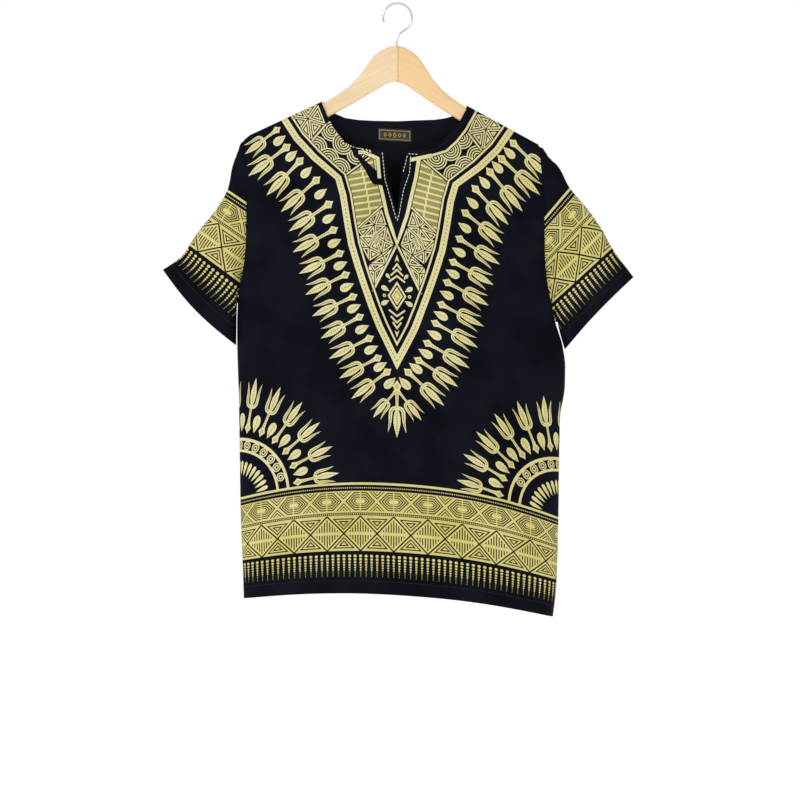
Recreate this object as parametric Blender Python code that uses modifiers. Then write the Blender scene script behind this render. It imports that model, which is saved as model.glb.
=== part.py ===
"""A dashiki shirt hanging on a plain wooden hanger.

The shirt is cut as a front, a back and two drop sleeves, with a slit at the
neck and a small label inside the back. Each piece is a cloth wall through the
same sections, so the side, shoulder and armhole seams lie edge to edge. The
hanger is one flat piece of wood with a steel wire hook. The origin is the
seat of the hook, +X is to the right of someone who faces the shirt, and the
front looks along -Y.

Sizes are in millimetres and are turned into metres where a mesh is made.
A level is a height on the cloth above the middle of the hem.
"""
import math
from collections import namedtuple

import bmesh
import bpy
import numpy as np
from mathutils import Matrix, Vector

MM = 0.001

# Cloth and seams
CLOTH = 1.2
SEAM_GAP = 0.3
LABEL_THICKNESS = 1.0

# How the shirt hangs
HEM_HEIGHT = -883.6
CENTRE_X = -1.5
SHEAR = 0.059
HANGER_TILT = math.radians(1.8)

# Levels on the cloth
UNDERARM_LEVEL = 424.0
SLIT_LEVEL = 565.6
SLIT_TOP_LEVEL = 663.0

# Hanger and hook
WOOD_THICKNESS = 12.0
WOOD_ROUNDING = 4.0
WOOD_TO_SHOULDER = 2.2
NECK_HALF = 107.6
NECK_HEIGHT = -148.5
ARM_SLOPE = 0.504
ARM_END = 216.0
ARM_STATIONS = (122.0, 145.0, 175.0, ARM_END - 12.0)
BEYOND_ARM_OUT = 12.0
BEYOND_ARM_DOWN = 11.0
NECK_TURN_IN = 0.6
WOOD_UNDER_NECK_POINT = 3.6
SHOULDER_DEPTH = 7.1
SHOULDER_DROP = 6.0
FLAT_BELOW_SHOULDER = 60.0
FLAT_BLEND = 50.0
WIRE = 3.2
HOOK_INNER_RADIUS = 20.0
HOOK_START = math.radians(-60.0)
HOOK_END = math.radians(200.0)
SHANK_DEPTH = 18.0
BORE_CLEARANCE = 0.35
BORE_BELOW_SHANK = 1.0
CUTTER_OVERSHOOT = 10.0
SWING_STEPS = 5
HOOK_STEPS = 20

# Side outline of the body: the side seam below the underarm, the armhole above
Outline = namedtuple("Outline", "level left right")
OUTLINE = (
    Outline(0, -231.0, 232.0),
    Outline(50, -232.5, 237.0),
    Outline(150, -235.8, 240.0),
    Outline(300, -238.3, 242.5),
    Outline(345, -240.0, 250.0),
    Outline(370, -240.8, 250.5),
    Outline(395, -241.0, 246.5),
    Outline(424, -240.0, 236.0),
    Outline(455, -235.0, 228.0),
    Outline(485, -230.0, 222.5),
    Outline(520, -227.2, 219.5),
    Outline(577, -226.5, 218.7),
    Outline(625, -228.2, 216.5),
    Outline(685, -232.5, 211.0),
)

# How far the sides hang lower than the middle, at the outline's full width
Drop = namedtuple("Drop", "level sides_lower")
DROPS = (
    Drop(0, 22.0),
    Drop(165, 37.0),
    Drop(240, 35.0),
    Drop(360, 14.0),
    Drop(480, 0.0),
    Drop(760, 0.0),
)
DROP_WIDTH = 240.0
DROP_POWER = 2.2

# How squarely the sides round off: at the side seam and at the armhole
SIDE_POWER = 5.0
ARMHOLE_POWER = 9.0
POWER_CHANGE_LEVEL = 380.0
POWER_CHANGE_SPAN = 80.0

# Half the depth of the shirt at a distance below its shoulder line
Depth = namedtuple("Depth", "below half")
DEPTHS = (
    Depth(SHOULDER_DROP, SHOULDER_DEPTH),
    Depth(40, 8.6),
    Depth(80, 12.5),
    Depth(150, 20.5),
    Depth(220, 27.0),
    Depth(310, 34.0),
    Depth(430, 40.0),
    Depth(600, 44.0),
    Depth(780, 46.0),
)

# Half the opening of the armhole, along its length from the underarm up
Armhole = namedtuple("Armhole", "along half")
ARMHOLE = (
    Armhole(0.0, SEAM_GAP / 2),
    Armhole(0.03, 5.0),
    Armhole(0.09, 7.4),
    Armhole(0.2, 9.4),
    Armhole(0.33, 10.6),
    Armhole(0.47, 11.2),
    Armhole(0.61, 10.8),
    Armhole(0.74, 9.6),
    Armhole(0.87, 8.4),
    Armhole(1.0, SHOULDER_DEPTH),
)

# Neck edges from the middle to the left and right neck points
Neck = namedtuple("Neck", "left left_level right right_level")
FRONT_NECK = (
    Neck(-21.0, SLIT_TOP_LEVEL, 12.0, SLIT_TOP_LEVEL),
    Neck(-45.0, 662.5, 31.0, 666.5),
    Neck(-64.0, 664.5, 49.8, 673.5),
    Neck(-79.5, 671.0, 65.1, 682.4),
    Neck(-96.0, 691.0, 78.9, 696.0),
    Neck(-107.0, 711.5, 93.5, 715.0),
)
BACK_NECK = (
    Neck(CENTRE_X, 709.1, CENTRE_X, 709.1),
    Neck(-35.0, 707.7, 30.0, 712.3),
    Neck(-60.0, 707.5, 55.0, 714.6),
    Neck(-80.0, 709.5, 72.0, 718.0),
    Neck(-97.0, 716.0, 88.0, 724.0),
)

# Slit edges at its top and at the bend near its middle
Slit = namedtuple("Slit", "level left right")
SLIT = (
    Slit(SLIT_LEVEL, -1.6, -1.4),
    Slit(615.0, -12.0, 3.5),
    Slit(SLIT_TOP_LEVEL, -21.0, 12.0),
)

# Large soft folds: place, lean per level, depth (out is positive), width, levels
Fold = namedtuple("Fold", "x lean depth width low high")
FRONT_FOLDS = (
    Fold(118.0, 0.03, -4.0, 16.0, 60, 560),
    Fold(163.0, 0.05, -4.5, 14.0, 90, 600),
    Fold(140.0, 0.04, 2.5, 15.0, 60, 580),
    Fold(-150.0, -0.06, -3.5, 18.0, 40, 520),
    Fold(-60.0, 0.02, -2.5, 24.0, -80, 330),
    Fold(45.0, -0.02, 3.0, 26.0, -80, 300),
    Fold(-190.0, 0.04, -3.0, 13.0, 250, 640),
    Fold(186.0, -0.03, -3.0, 12.0, 300, 640),
)
BACK_FOLDS = (
    Fold(-110.0, 0.04, -4.5, 18.0, 40, 600),
    Fold(-40.0, -0.02, 3.0, 22.0, 0, 520),
    Fold(30.0, 0.03, -4.0, 18.0, 60, 620),
    Fold(125.0, -0.05, -4.5, 16.0, 20, 560),
    Fold(175.0, 0.03, 2.5, 13.0, 120, 600),
    Fold(-180.0, -0.02, -3.0, 14.0, 220, 630),
)

FOLD_RISE = 90.0
FOLD_FALL = 130.0
CALM_SIDE_SHARE = 0.12
CALM_BELOW_SHOULDER = 20.0
CALM_SPAN = 60.0

# Upper edge of each sleeve, from the shoulder seam to the cuff
Point = namedtuple("Point", "x z")
RIGHT_SLEEVE_TOP = (
    Point(-239.5, -219.0),
    Point(-248.3, -244.0),
    Point(-253.8, -273.0),
    Point(-266.0, -298.0),
    Point(-301.5, -344.0),
    Point(-325.5, -379.0),
    Point(-352.5, -398.0),
)
LEFT_SLEEVE_TOP = (
    Point(226.0, -229.0),
    Point(241.0, -244.0),
    Point(256.0, -273.0),
    Point(288.0, -312.0),
    Point(304.5, -336.0),
    Point(320.0, -364.0),
    Point(353.0, -409.0),
)
RIGHT_CUFF_LOW = Point(-246.0, -511.0)
LEFT_CUFF_LOW = Point(252.5, -517.0)
RIGHT_CUFF_BOW = 7.0
LEFT_CUFF_BOW = -3.0
SLEEVE_RINGS = (0.0, 0.035, 0.11, 0.22, 0.36, 0.5, 0.65, 0.82, 1.0)
SLEEVE_INSET = 1.5
SLEEVE_SEAM_STEP = 0.4
SLEEVE_TOP_OUT = 4.0
SLEEVE_TOP_DOWN = 1.0
SLEEVE_HALF_DEPTH = 15.0
CUFF_HALF_DEPTH = 18.0
SLEEVE_FULL_FROM = 0.03
SLEEVE_FULL_OVER = 0.3
SLEEVE_EVEN_BY = 0.5
SLEEVE_ROUND_POWER = 0.8
UNDERARM_OUT_FIRST = 4.6
UNDERARM_OUT_SECOND = 7.6
UNDERARM_DOWN = 10.0
WAVE_DEPTH = 2.2
WAVES_AROUND = 1.4
WAVE_SHIFT = 0.8

# Wooden hanger: upper and lower edge at a distance from its middle
Wood = namedtuple("Wood", "out upper lower")
WOOD = (
    Wood(0.0, -62.0, -115.5),
    Wood(12.0, -64.0, -119.0),
    Wood(23.0, -69.8, -125.5),
    Wood(34.4, -79.0, -132.6),
    Wood(44.4, -93.5, -139.2),
    Wood(56.0, -110.8, -146.6),
    Wood(69.7, -125.7, -154.8),
    Wood(86.3, -138.6, -164.4),
)
WOOD_ARM_DEPTH = 26.5
WOOD_END_DEPTH = 15.0
WOOD_NECK_THINNING = 1.2
WOOD_END_REACH = 11.0
WOOD_END_DROP = 2.0
WOOD_END_ANGLES = (60, 30, 0, -30, -60)

# Label inside the back neck
LABEL_LEFT = -31.0
LABEL_RIGHT = 21.0
LABEL_LOW = 679.0
LABEL_HIGH = 697.0

LABEL_COLUMNS = 4
LABEL_ROWS = 2

# How many parts the meshes are divided into
HALF_COLUMNS = 20
NECK_COLUMNS = 9
ROWS_BELOW_ARMHOLE = 11
SLIT_FOOT_SHARE = 0.611
ROWS_ALONG_ARMHOLE = (0.0, 0.03, 0.09, 0.2, 0.33, 0.47, SLIT_FOOT_SHARE, 0.74, 0.87, 1.0)
ROWS_OVER_SHOULDER = (3.0, 0.8, 0.09, 0.0)
FLAT_SHARE = 0.72
LEAN_FROM = 0.7
SHOULDER_SEARCH_STEPS = 30


def clear_scene():
    """Start from an empty scene."""
    for old in list(bpy.data.objects):
        bpy.data.objects.remove(old, do_unlink=True)


def smooth_step(value):
    """Ease from 0 to 1 with level ends."""
    value = np.clip(value, 0.0, 1.0)
    return value * value * (3.0 - 2.0 * value)


def through(places, values, at):
    """Read a smooth line through a table, without overshoot between its rows."""
    places = np.asarray(places, dtype=float)
    values = np.asarray(values, dtype=float)
    at = np.clip(np.asarray(at, dtype=float), places[0], places[-1])
    steps = np.diff(places)
    slopes = np.diff(values) / steps
    tangents = np.zeros(len(places))
    tangents[0] = slopes[0]
    tangents[-1] = slopes[-1]
    for row in range(1, len(places) - 1):
        before = slopes[row - 1]
        after = slopes[row]
        if before * after > 0.0:
            tangents[row] = 2.0 * before * after / (before + after)
    row = np.clip(np.searchsorted(places, at, side="right") - 1, 0, len(steps) - 1)
    part = (at - places[row]) / steps[row]
    squared = part * part
    cubed = squared * part
    start = values[row] * (2.0 * cubed - 3.0 * squared + 1.0)
    end = values[row + 1] * (3.0 * squared - 2.0 * cubed)
    leave = tangents[row] * steps[row] * (cubed - 2.0 * squared + part)
    arrive = tangents[row + 1] * steps[row] * (cubed - squared)
    return start + end + leave + arrive


def column(table, name):
    """One named column of a table."""
    return [getattr(row, name) for row in table]


def along_line(points, share):
    """The point at a share of a polyline's length, as (x, other)."""
    points = np.asarray(points, dtype=float)
    lengths = np.concatenate(([0.0], np.cumsum(np.hypot(*np.diff(points, axis=0).T))))
    place = share * lengths[-1]
    return np.interp(place, lengths, points[:, 0]), np.interp(place, lengths, points[:, 1])


def tilted(x, z):
    """Turn a point of the level hanger about the hook's seat to where it hangs."""
    cosine = math.cos(HANGER_TILT)
    sine = math.sin(HANGER_TILT)
    return x * cosine + z * sine, z * cosine - x * sine


def height(x, level):
    """World height of the cloth at a place across and a level."""
    drop = through(column(DROPS, "level"), column(DROPS, "sides_lower"), level)
    sag = drop * (np.abs(x) / DROP_WIDTH) ** DROP_POWER
    return HEM_HEIGHT + level - SHEAR * x - sag


def shoulder_line():
    """The shoulder seams and the straight line across the neck, as x and level."""
    arm_drop = ARM_SLOPE * (ARM_END - NECK_HALF)
    inner = (NECK_HALF, NECK_HEIGHT)
    outer = (ARM_END, NECK_HEIGHT - arm_drop)
    end = (ARM_END + BEYOND_ARM_OUT, NECK_HEIGHT - arm_drop - BEYOND_ARM_DOWN)
    points = []
    for side, order in ((-1, (end, outer, inner)), (1, (inner, outer, end))):
        for out, up in order:
            x, z = tilted(side * out, up)
            points.append((x, z - HEM_HEIGHT + SHEAR * x))
    return np.array(points)


SHOULDER = shoulder_line()


def shoulder_level(x):
    """Level of the shoulder line at a place across."""
    return np.interp(x, SHOULDER[:, 0], SHOULDER[:, 1])


def edge_x(level, side):
    """Place of the side seam or armhole at a level."""
    name = "left" if side < 0 else "right"
    return through(column(OUTLINE, "level"), column(OUTLINE, name), level)


def shoulder_point(side):
    """Where the shoulder seam meets the armhole, as x and level."""
    level = OUTLINE[-1].level
    for _ in range(SHOULDER_SEARCH_STEPS):
        x = float(edge_x(level, side))
        level = float(shoulder_level(x))
    return x, level


SHOULDER_POINTS = {side: shoulder_point(side) for side in (-1, 1)}


def hanging_depth(below):
    """Half depth of the shirt at a distance below the shoulder line."""
    curve = np.clip(1.0 - below / SHOULDER_DROP, 0.0, 1.0)
    over_wood = SEAM_GAP / 2 + (SHOULDER_DEPTH - SEAM_GAP / 2) * np.sqrt(1.0 - curve * curve)
    lower = through(column(DEPTHS, "below"), column(DEPTHS, "half"), below)
    return np.where(below < SHOULDER_DROP, over_wood, lower)


def armhole_depth(level, side):
    """Half depth at the side seam, which is closed, or at the open armhole."""
    top = SHOULDER_POINTS[side][1]
    share = (level - UNDERARM_LEVEL) / (top - SHOULDER_DROP - UNDERARM_LEVEL)
    return through(column(ARMHOLE, "along"), column(ARMHOLE, "half"), share)


def roundness(level):
    """How squarely the side rounds off: more along the armhole."""
    change = smooth_step((level - POWER_CHANGE_LEVEL) / POWER_CHANGE_SPAN)
    return SIDE_POWER + (ARMHOLE_POWER - SIDE_POWER) * change


def fold_relief(folds, x, level):
    """How far the large folds lift the cloth."""
    relief = np.zeros(np.broadcast(x, level).shape)
    for fold in folds:
        middle = fold.x + fold.lean * (level - fold.low)
        across = np.exp(-((x - middle) / fold.width) ** 2)
        rise = smooth_step((level - fold.low) / FOLD_RISE)
        fall = smooth_step((fold.high - level) / FOLD_FALL)
        relief = relief + fold.depth * across * rise * fall
    return relief


def half_depth(x, level, folds):
    """Distance of the cloth's middle from the plane of the side seams."""
    on_left = x < CENTRE_X
    below = shoulder_level(x) - level
    hanging = hanging_depth(below)
    edge = np.where(on_left, armhole_depth(level, -1), armhole_depth(level, 1))
    top = np.where(on_left, SHOULDER_POINTS[-1][1], SHOULDER_POINTS[1][1])
    near_top = smooth_step((level - top + FLAT_BELOW_SHOULDER) / FLAT_BLEND)
    edge = edge + (hanging - edge) * near_top
    reach = np.where(on_left, CENTRE_X - edge_x(level, -1), edge_x(level, 1) - CENTRE_X)
    share = np.clip(np.abs(x - CENTRE_X) / reach, 0.0, 1.0)
    rounded = np.sqrt(1.0 - share ** roundness(level))
    depth = edge + (hanging - edge) * rounded
    calm = smooth_step((1.0 - share) / CALM_SIDE_SHARE)
    calm = calm * smooth_step((below - CALM_BELOW_SHOULDER) / CALM_SPAN)
    return depth + fold_relief(folds, x, level) * calm


def panel_point(x, level, face, folds):
    """A point of the front (face -1) or the back (face 1), in millimetres."""
    depth = float(half_depth(x, level, folds))
    return Vector((float(x), face * depth, float(height(x, level))))


def neck_edge(table, side):
    """The neck edge of one half as points of x and level, up to the turn over the wood."""
    names = ("left", "left_level") if side < 0 else ("right", "right_level")
    points = [(getattr(row, names[0]), getattr(row, names[1])) for row in table]
    x, level = SHOULDER[2] if side < 0 else SHOULDER[3]
    return points + [(x - side * NECK_TURN_IN, level - SHOULDER_DROP)]


def shoulder_edge(side):
    """The shoulder seam of one half, from the neck point to the armhole."""
    end = SHOULDER_POINTS[side]
    if side < 0:
        return [tuple(SHOULDER[2]), tuple(SHOULDER[1]), end]
    return [tuple(SHOULDER[3]), tuple(SHOULDER[4]), end]


def inner_x(level, side, has_slit):
    """The middle of the panel, or the slit's edge above its foot."""
    if not has_slit or level <= SLIT_LEVEL:
        return CENTRE_X
    name = "left" if side < 0 else "right"
    return float(np.interp(level, column(SLIT, "level"), column(SLIT, name)))


def low_share(step, level):
    """Even columns over the flat middle, closer ones round the side."""
    half = 0.5
    if step <= half:
        return FLAT_SHARE * step / half
    power = float(roundness(level))
    start = math.asin(FLAT_SHARE ** (power / 2.0))
    turn = start + (math.pi / 2.0 - start) * (step - half) / half
    return math.sin(turn) ** (2.0 / power)


def row_levels(top):
    """Levels of all rows of a column whose top is given."""
    levels = [UNDERARM_LEVEL * row / ROWS_BELOW_ARMHOLE for row in range(ROWS_BELOW_ARMHOLE)]
    span = top - SHOULDER_DROP - UNDERARM_LEVEL
    levels += [UNDERARM_LEVEL + span * share for share in ROWS_ALONG_ARMHOLE]
    levels += [top - below for below in ROWS_OVER_SHOULDER]
    return levels


def half_panel(side, face, neck, folds, has_slit):
    """Columns of points for one half of a panel, from the middle outwards."""
    neck_line = neck_edge(neck, side)
    seam_line = shoulder_edge(side)
    columns = []
    for index in range(HALF_COLUMNS + 1):
        step = index / HALF_COLUMNS
        if index < NECK_COLUMNS:
            top_x, top = along_line(neck_line, index / (NECK_COLUMNS - 1))
        else:
            share = (index - NECK_COLUMNS) / (HALF_COLUMNS - NECK_COLUMNS)
            top_x, top = along_line(seam_line, share)
        top_inner = inner_x(top, side, has_slit)
        top_share = (top_x - top_inner) / (float(edge_x(top, side)) - top_inner)
        points = []
        for level in row_levels(float(top)):
            lean = float(smooth_step((level / top - LEAN_FROM) / (1.0 - LEAN_FROM)))
            share = (1.0 - lean) * low_share(step, level) + lean * top_share
            inside = inner_x(level, side, has_slit)
            x = inside + (float(edge_x(level, side)) - inside) * share
            if index == HALF_COLUMNS:
                x = float(edge_x(level, side))
            points.append(panel_point(x, level, face, folds))
        columns.append(points)
    return columns


def mesh_object(name, bm, material, collection):
    """Put a bmesh into the collection as an object in metres."""
    bmesh.ops.scale(bm, vec=Vector((MM, MM, MM)), verts=bm.verts[:])
    mesh = bpy.data.meshes.new(name)
    bm.to_mesh(mesh)
    bm.free()
    mesh.materials.append(material)
    piece = bpy.data.objects.new(name, mesh)
    collection.objects.link(piece)
    return piece


def give_thickness(piece, thickness):
    """Turn an open cloth surface into a wall about its middle."""
    wall = piece.modifiers.new("Cloth wall", "SOLIDIFY")
    wall.thickness = thickness * MM
    wall.offset = 0.0
    wall.use_rim = True


def skin_columns(bm, columns, closed=False):
    """Join neighbouring columns of vertices with quads."""
    pairs = list(zip(columns, columns[1:]))
    if closed:
        pairs.append((columns[-1], columns[0]))
    for first, second in pairs:
        for low in range(len(first) - 1):
            corners = (first[low], second[low], second[low + 1], first[low + 1])
            bm.faces.new(corners)


def panel(name, face, neck, folds, has_slit, material, collection):
    """The front or the back as one cloth wall."""
    bm = bmesh.new()
    left = half_panel(-1, face, neck, folds, has_slit)
    right = half_panel(1, face, neck, folds, has_slit)
    left_columns = [[bm.verts.new(point) for point in points] for points in left]
    right_columns = []
    for index, points in enumerate(right):
        made = []
        for row, point in enumerate(points):
            shared = index == 0 and not (has_slit and is_above_foot(row))
            made.append(left_columns[0][row] if shared else bm.verts.new(point))
        right_columns.append(made)
    skin_columns(bm, left_columns)
    skin_columns(bm, right_columns)
    bmesh.ops.recalc_face_normals(bm, faces=bm.faces[:])
    for facet in bm.faces:
        facet.smooth = True
    piece = mesh_object(name, bm, material, collection)
    give_thickness(piece, CLOTH)
    return piece


def is_above_foot(row):
    """Whether a row of the middle column lies above the foot of the slit."""
    return row > ROWS_BELOW_ARMHOLE + ROWS_ALONG_ARMHOLE.index(SLIT_FOOT_SHARE)


def armhole_loop(side):
    """Points of the armhole from the shoulder down the front and up the back."""
    top = SHOULDER_POINTS[side][1]
    levels = row_levels(top)[ROWS_BELOW_ARMHOLE:]
    levels.reverse()
    front = []
    for level in levels:
        x = float(edge_x(level, side))
        front.append(panel_point(x, level, -1, ()))
    front[0].y = 0.0
    front[-1].y = 0.0
    back = [Vector((point.x, -point.y, point.z)) for point in front[-2:0:-1]]
    return front + back


def inset_loop(loop, side):
    """Move the armhole's points inwards, so that the sleeve lies inside its edge."""
    moved = []
    count = len(loop)
    for index, point in enumerate(loop):
        run = loop[(index + 1) % count] - loop[index - 1]
        inward = Vector((0.0, run.z, -run.y)).normalized()
        middle = Vector((point.x, 0.0, (loop[0].z + loop[count // 2].z) / 2.0))
        if inward.dot(middle - point) < 0.0:
            inward.negate()
        step = Vector((side * SLEEVE_SEAM_STEP, 0.0, 0.0))
        moved.append(point + inward * SLEEVE_INSET - step)
    return moved


def sleeve_low_edge(root, side, cuff_low, share):
    """The underarm seam of the sleeve, out over the body's side seam and down."""
    places = (0.0, SLEEVE_RINGS[1], SLEEVE_RINGS[2], 1.0)
    first = root.x + side * UNDERARM_OUT_FIRST
    second = root.x + side * UNDERARM_OUT_SECOND
    outs = (root.x, first, second, cuff_low.x)
    heights = (root.z, root.z, root.z - UNDERARM_DOWN, cuff_low.z)
    return float(through(places, outs, share)), float(through(places, heights, share))


def sleeve(name, side, top_points, cuff_low, cuff_bow, material, collection):
    """A sleeve as a flattened tube from the armhole to the open cuff."""
    loop = inset_loop(armhole_loop(side), side)
    count = len(loop)
    half = count // 2
    top_root = loop[0]
    low_root = loop[half]
    first = (top_root.x + side * SLEEVE_TOP_OUT, top_root.z - SLEEVE_TOP_DOWN)
    top_line = [(top_root.x, top_root.z), first] + [(point.x, point.z) for point in top_points]
    bm = bmesh.new()
    rings = []
    for share in SLEEVE_RINGS:
        top_x, top_z = along_line(top_line, share)
        low_x, low_z = sleeve_low_edge(low_root, side, cuff_low, share)
        fullness = float(smooth_step((share - SLEEVE_FULL_FROM) / SLEEVE_FULL_OVER))
        depth = SLEEVE_HALF_DEPTH + (CUFF_HALF_DEPTH - SLEEVE_HALF_DEPTH) * share
        across = Vector((low_x - top_x, 0.0, low_z - top_z)).normalized()
        outward = Vector((-across.z * side, 0.0, across.x * side)) * cuff_bow * share ** 2
        ring = []
        for index, point in enumerate(loop):
            turn = 2.0 * math.pi * index / count
            root_down = (top_root.z - point.z) / (top_root.z - low_root.z)
            even_down = (1.0 - math.cos(turn)) / 2.0
            even = smooth_step(share / SLEEVE_EVEN_BY)
            down = root_down + (even_down - root_down) * even
            bow = point.x - (top_root.x + (low_root.x - top_root.x) * root_down)
            bulge = outward * math.sin(math.pi * down)
            x = top_x + (low_x - top_x) * down + bow * (1.0 - fullness) + bulge.x
            z = top_z + (low_z - top_z) * down + bulge.z
            phase = 2.0 * math.pi * (WAVES_AROUND * down + WAVE_SHIFT * share)
            wave = WAVE_DEPTH * math.sin(phase) * fullness
            rounded = math.copysign(abs(math.sin(turn)) ** SLEEVE_ROUND_POWER, math.sin(turn))
            round_depth = -(depth + wave) * rounded
            y = point.y + (round_depth - point.y) * fullness
            ring.append(bm.verts.new((x, y, z)))
        rings.append(ring)
    skin_columns(bm, [list(line) for line in zip(*rings)], closed=True)
    bmesh.ops.recalc_face_normals(bm, faces=bm.faces[:])
    for facet in bm.faces:
        facet.smooth = True
    piece = mesh_object(name, bm, material, collection)
    give_thickness(piece, CLOTH)
    return piece


def label(material, collection):
    """A small woven label lying on the inside of the back."""
    lift = CLOTH / 2 + SEAM_GAP + LABEL_THICKNESS / 2
    bm = bmesh.new()
    columns = []
    for across in range(LABEL_COLUMNS + 1):
        x = LABEL_LEFT + (LABEL_RIGHT - LABEL_LEFT) * across / LABEL_COLUMNS
        points = []
        for up in range(LABEL_ROWS + 1):
            level = LABEL_LOW + (LABEL_HIGH - LABEL_LOW) * up / LABEL_ROWS
            point = panel_point(x, level, 1, BACK_FOLDS)
            points.append(bm.verts.new(point - Vector((0.0, lift, 0.0))))
        columns.append(points)
    skin_columns(bm, columns)
    bmesh.ops.recalc_face_normals(bm, faces=bm.faces[:])
    piece = mesh_object("neck_label", bm, material, collection)
    give_thickness(piece, LABEL_THICKNESS)
    return piece


def wood_outline():
    """Closed outline of the level hanger as x and z, clockwise from its middle."""
    lowered = NECK_HEIGHT - WOOD_TO_SHOULDER / math.cos(math.atan(ARM_SLOPE))
    upper = [(row.out, row.upper) for row in WOOD]
    lower = [(row.out, row.lower) for row in WOOD]
    neck_top = NECK_HEIGHT - WOOD_UNDER_NECK_POINT
    upper.append((NECK_HALF, neck_top))
    lower.append((NECK_HALF, neck_top - WOOD_ARM_DEPTH + WOOD_NECK_THINNING))
    for out in ARM_STATIONS:
        top = lowered - ARM_SLOPE * (out - NECK_HALF)
        share = (out - NECK_HALF) / (ARM_END - NECK_HALF)
        deep = WOOD_ARM_DEPTH + (WOOD_END_DEPTH - WOOD_ARM_DEPTH) * share
        upper.append((out, top))
        lower.append((out, top - deep))
    end_top = upper[-1]
    end_low = lower[-1]
    end_height = (end_top[1] + end_low[1]) / 2 - WOOD_END_DROP
    radius = (end_top[1] - end_low[1]) / 2
    end = []
    for degrees in WOOD_END_ANGLES:
        angle = math.radians(degrees)
        out = end_top[0] + WOOD_END_REACH * math.cos(angle)
        end.append((out, end_height + radius * math.sin(angle)))
    right = upper + end + lower[::-1]
    left = [(-out, up) for out, up in right[::-1] if out > 0.0]
    return right + left


def hanger(material, collection, cutters):
    """The wooden hanger, with a blind bore for the hook's shank."""
    outline = wood_outline()
    curve = bpy.data.curves.new("hanger_outline", "CURVE")
    curve.dimensions = "2D"
    curve.fill_mode = "BOTH"
    curve.extrude = (WOOD_THICKNESS / 2 - WOOD_ROUNDING) * MM
    curve.bevel_depth = WOOD_ROUNDING * MM
    curve.bevel_resolution = 2
    curve.offset = -WOOD_ROUNDING * MM
    spline = curve.splines.new("POLY")
    spline.points.add(len(outline) - 1)
    for point, (x, z) in zip(spline.points, outline):
        point.co = (x * MM, z * MM, 0.0, 1.0)
    spline.use_cyclic_u = True
    flat = bpy.data.objects.new("hanger_flat", curve)
    flat.rotation_euler = (math.pi / 2, 0.0, 0.0)
    collection.objects.link(flat)
    bpy.context.view_layer.update()
    evaluated = flat.evaluated_get(bpy.context.evaluated_depsgraph_get())
    mesh = bpy.data.meshes.new_from_object(evaluated)
    place = Matrix.Rotation(HANGER_TILT, 4, "Y") @ flat.matrix_world
    bpy.data.objects.remove(flat, do_unlink=True)
    bm = bmesh.new()
    bm.from_mesh(mesh)
    bmesh.ops.remove_doubles(bm, verts=bm.verts[:], dist=0.00001)
    bm.to_mesh(mesh)
    bm.free()
    mesh.name = "hanger"
    mesh.materials.clear()
    mesh.materials.append(material)
    piece = bpy.data.objects.new("hanger", mesh)
    piece.matrix_world = place
    collection.objects.link(piece)

    apex = WOOD[0].upper
    bore_length = SHANK_DEPTH + BORE_BELOW_SHANK + CUTTER_OVERSHOOT
    bore_middle = apex + CUTTER_OVERSHOOT - bore_length / 2
    bpy.ops.mesh.primitive_cylinder_add(
        vertices=16,
        radius=(WIRE / 2 + BORE_CLEARANCE) * MM,
        depth=bore_length * MM,
        location=(0.0, 0.0, 0.0),
    )
    cutter = bpy.context.active_object
    cutter.name = "shank_bore"
    cutter.matrix_world = Matrix.Rotation(HANGER_TILT, 4, "Y") @ Matrix.Translation(
        (0.0, 0.0, bore_middle * MM)
    )
    for owner in list(cutter.users_collection):
        owner.objects.unlink(cutter)
    cutters.objects.link(cutter)
    cutter.hide_render = True
    cutter.display_type = "WIRE"
    cut = piece.modifiers.new("Shank bore", "BOOLEAN")
    cut.operation = "DIFFERENCE"
    cut.object = cutter
    cut.solver = "EXACT"
    return piece


def hook_path():
    """Centre line of the wire: shank, swing to the side and round hook."""
    radius = HOOK_INNER_RADIUS + WIRE / 2
    centre = -HOOK_INNER_RADIUS
    turn = -HOOK_START
    join_x = radius * math.cos(HOOK_START)
    swing = join_x / (1.0 - math.cos(turn))
    join_z = centre + radius * math.sin(HOOK_START)
    start_z = join_z - swing * math.sin(turn)
    points = [(0.0, WOOD[0].upper - SHANK_DEPTH), (0.0, WOOD[0].upper)]
    for step in range(SWING_STEPS):
        angle = turn * step / SWING_STEPS
        points.append((swing * (1.0 - math.cos(angle)), start_z + swing * math.sin(angle)))
    for step in range(HOOK_STEPS + 1):
        angle = HOOK_START + (HOOK_END - HOOK_START) * step / HOOK_STEPS
        points.append((radius * math.cos(angle), centre + radius * math.sin(angle)))
    return points


def hook(material, collection):
    """The steel wire hook."""
    curve = bpy.data.curves.new("hook", "CURVE")
    curve.dimensions = "3D"
    curve.bevel_depth = WIRE / 2 * MM
    curve.bevel_resolution = 2
    curve.use_fill_caps = True
    path = hook_path()
    spline = curve.splines.new("POLY")
    spline.points.add(len(path) - 1)
    for point, (x, z) in zip(spline.points, path):
        world_x, world_z = tilted(x, z)
        point.co = (world_x * MM, 0.0, world_z * MM, 1.0)
    curve.materials.append(material)
    piece = bpy.data.objects.new("hook", curve)
    collection.objects.link(piece)
    return piece


def surface(name, colour, roughness, metallic=0.0):
    """A plain Principled material."""
    material = bpy.data.materials.new(name)
    material.use_nodes = True
    shader = material.node_tree.nodes["Principled BSDF"]
    shader.inputs["Base Color"].default_value = (*colour, 1.0)
    shader.inputs["Roughness"].default_value = roughness
    shader.inputs["Metallic"].default_value = metallic
    material.diffuse_color = (*colour, 1.0)
    return material


def new_collection(name):
    """A collection in the scene."""
    made = bpy.data.collections.new(name)
    bpy.context.scene.collection.children.link(made)
    return made


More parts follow.
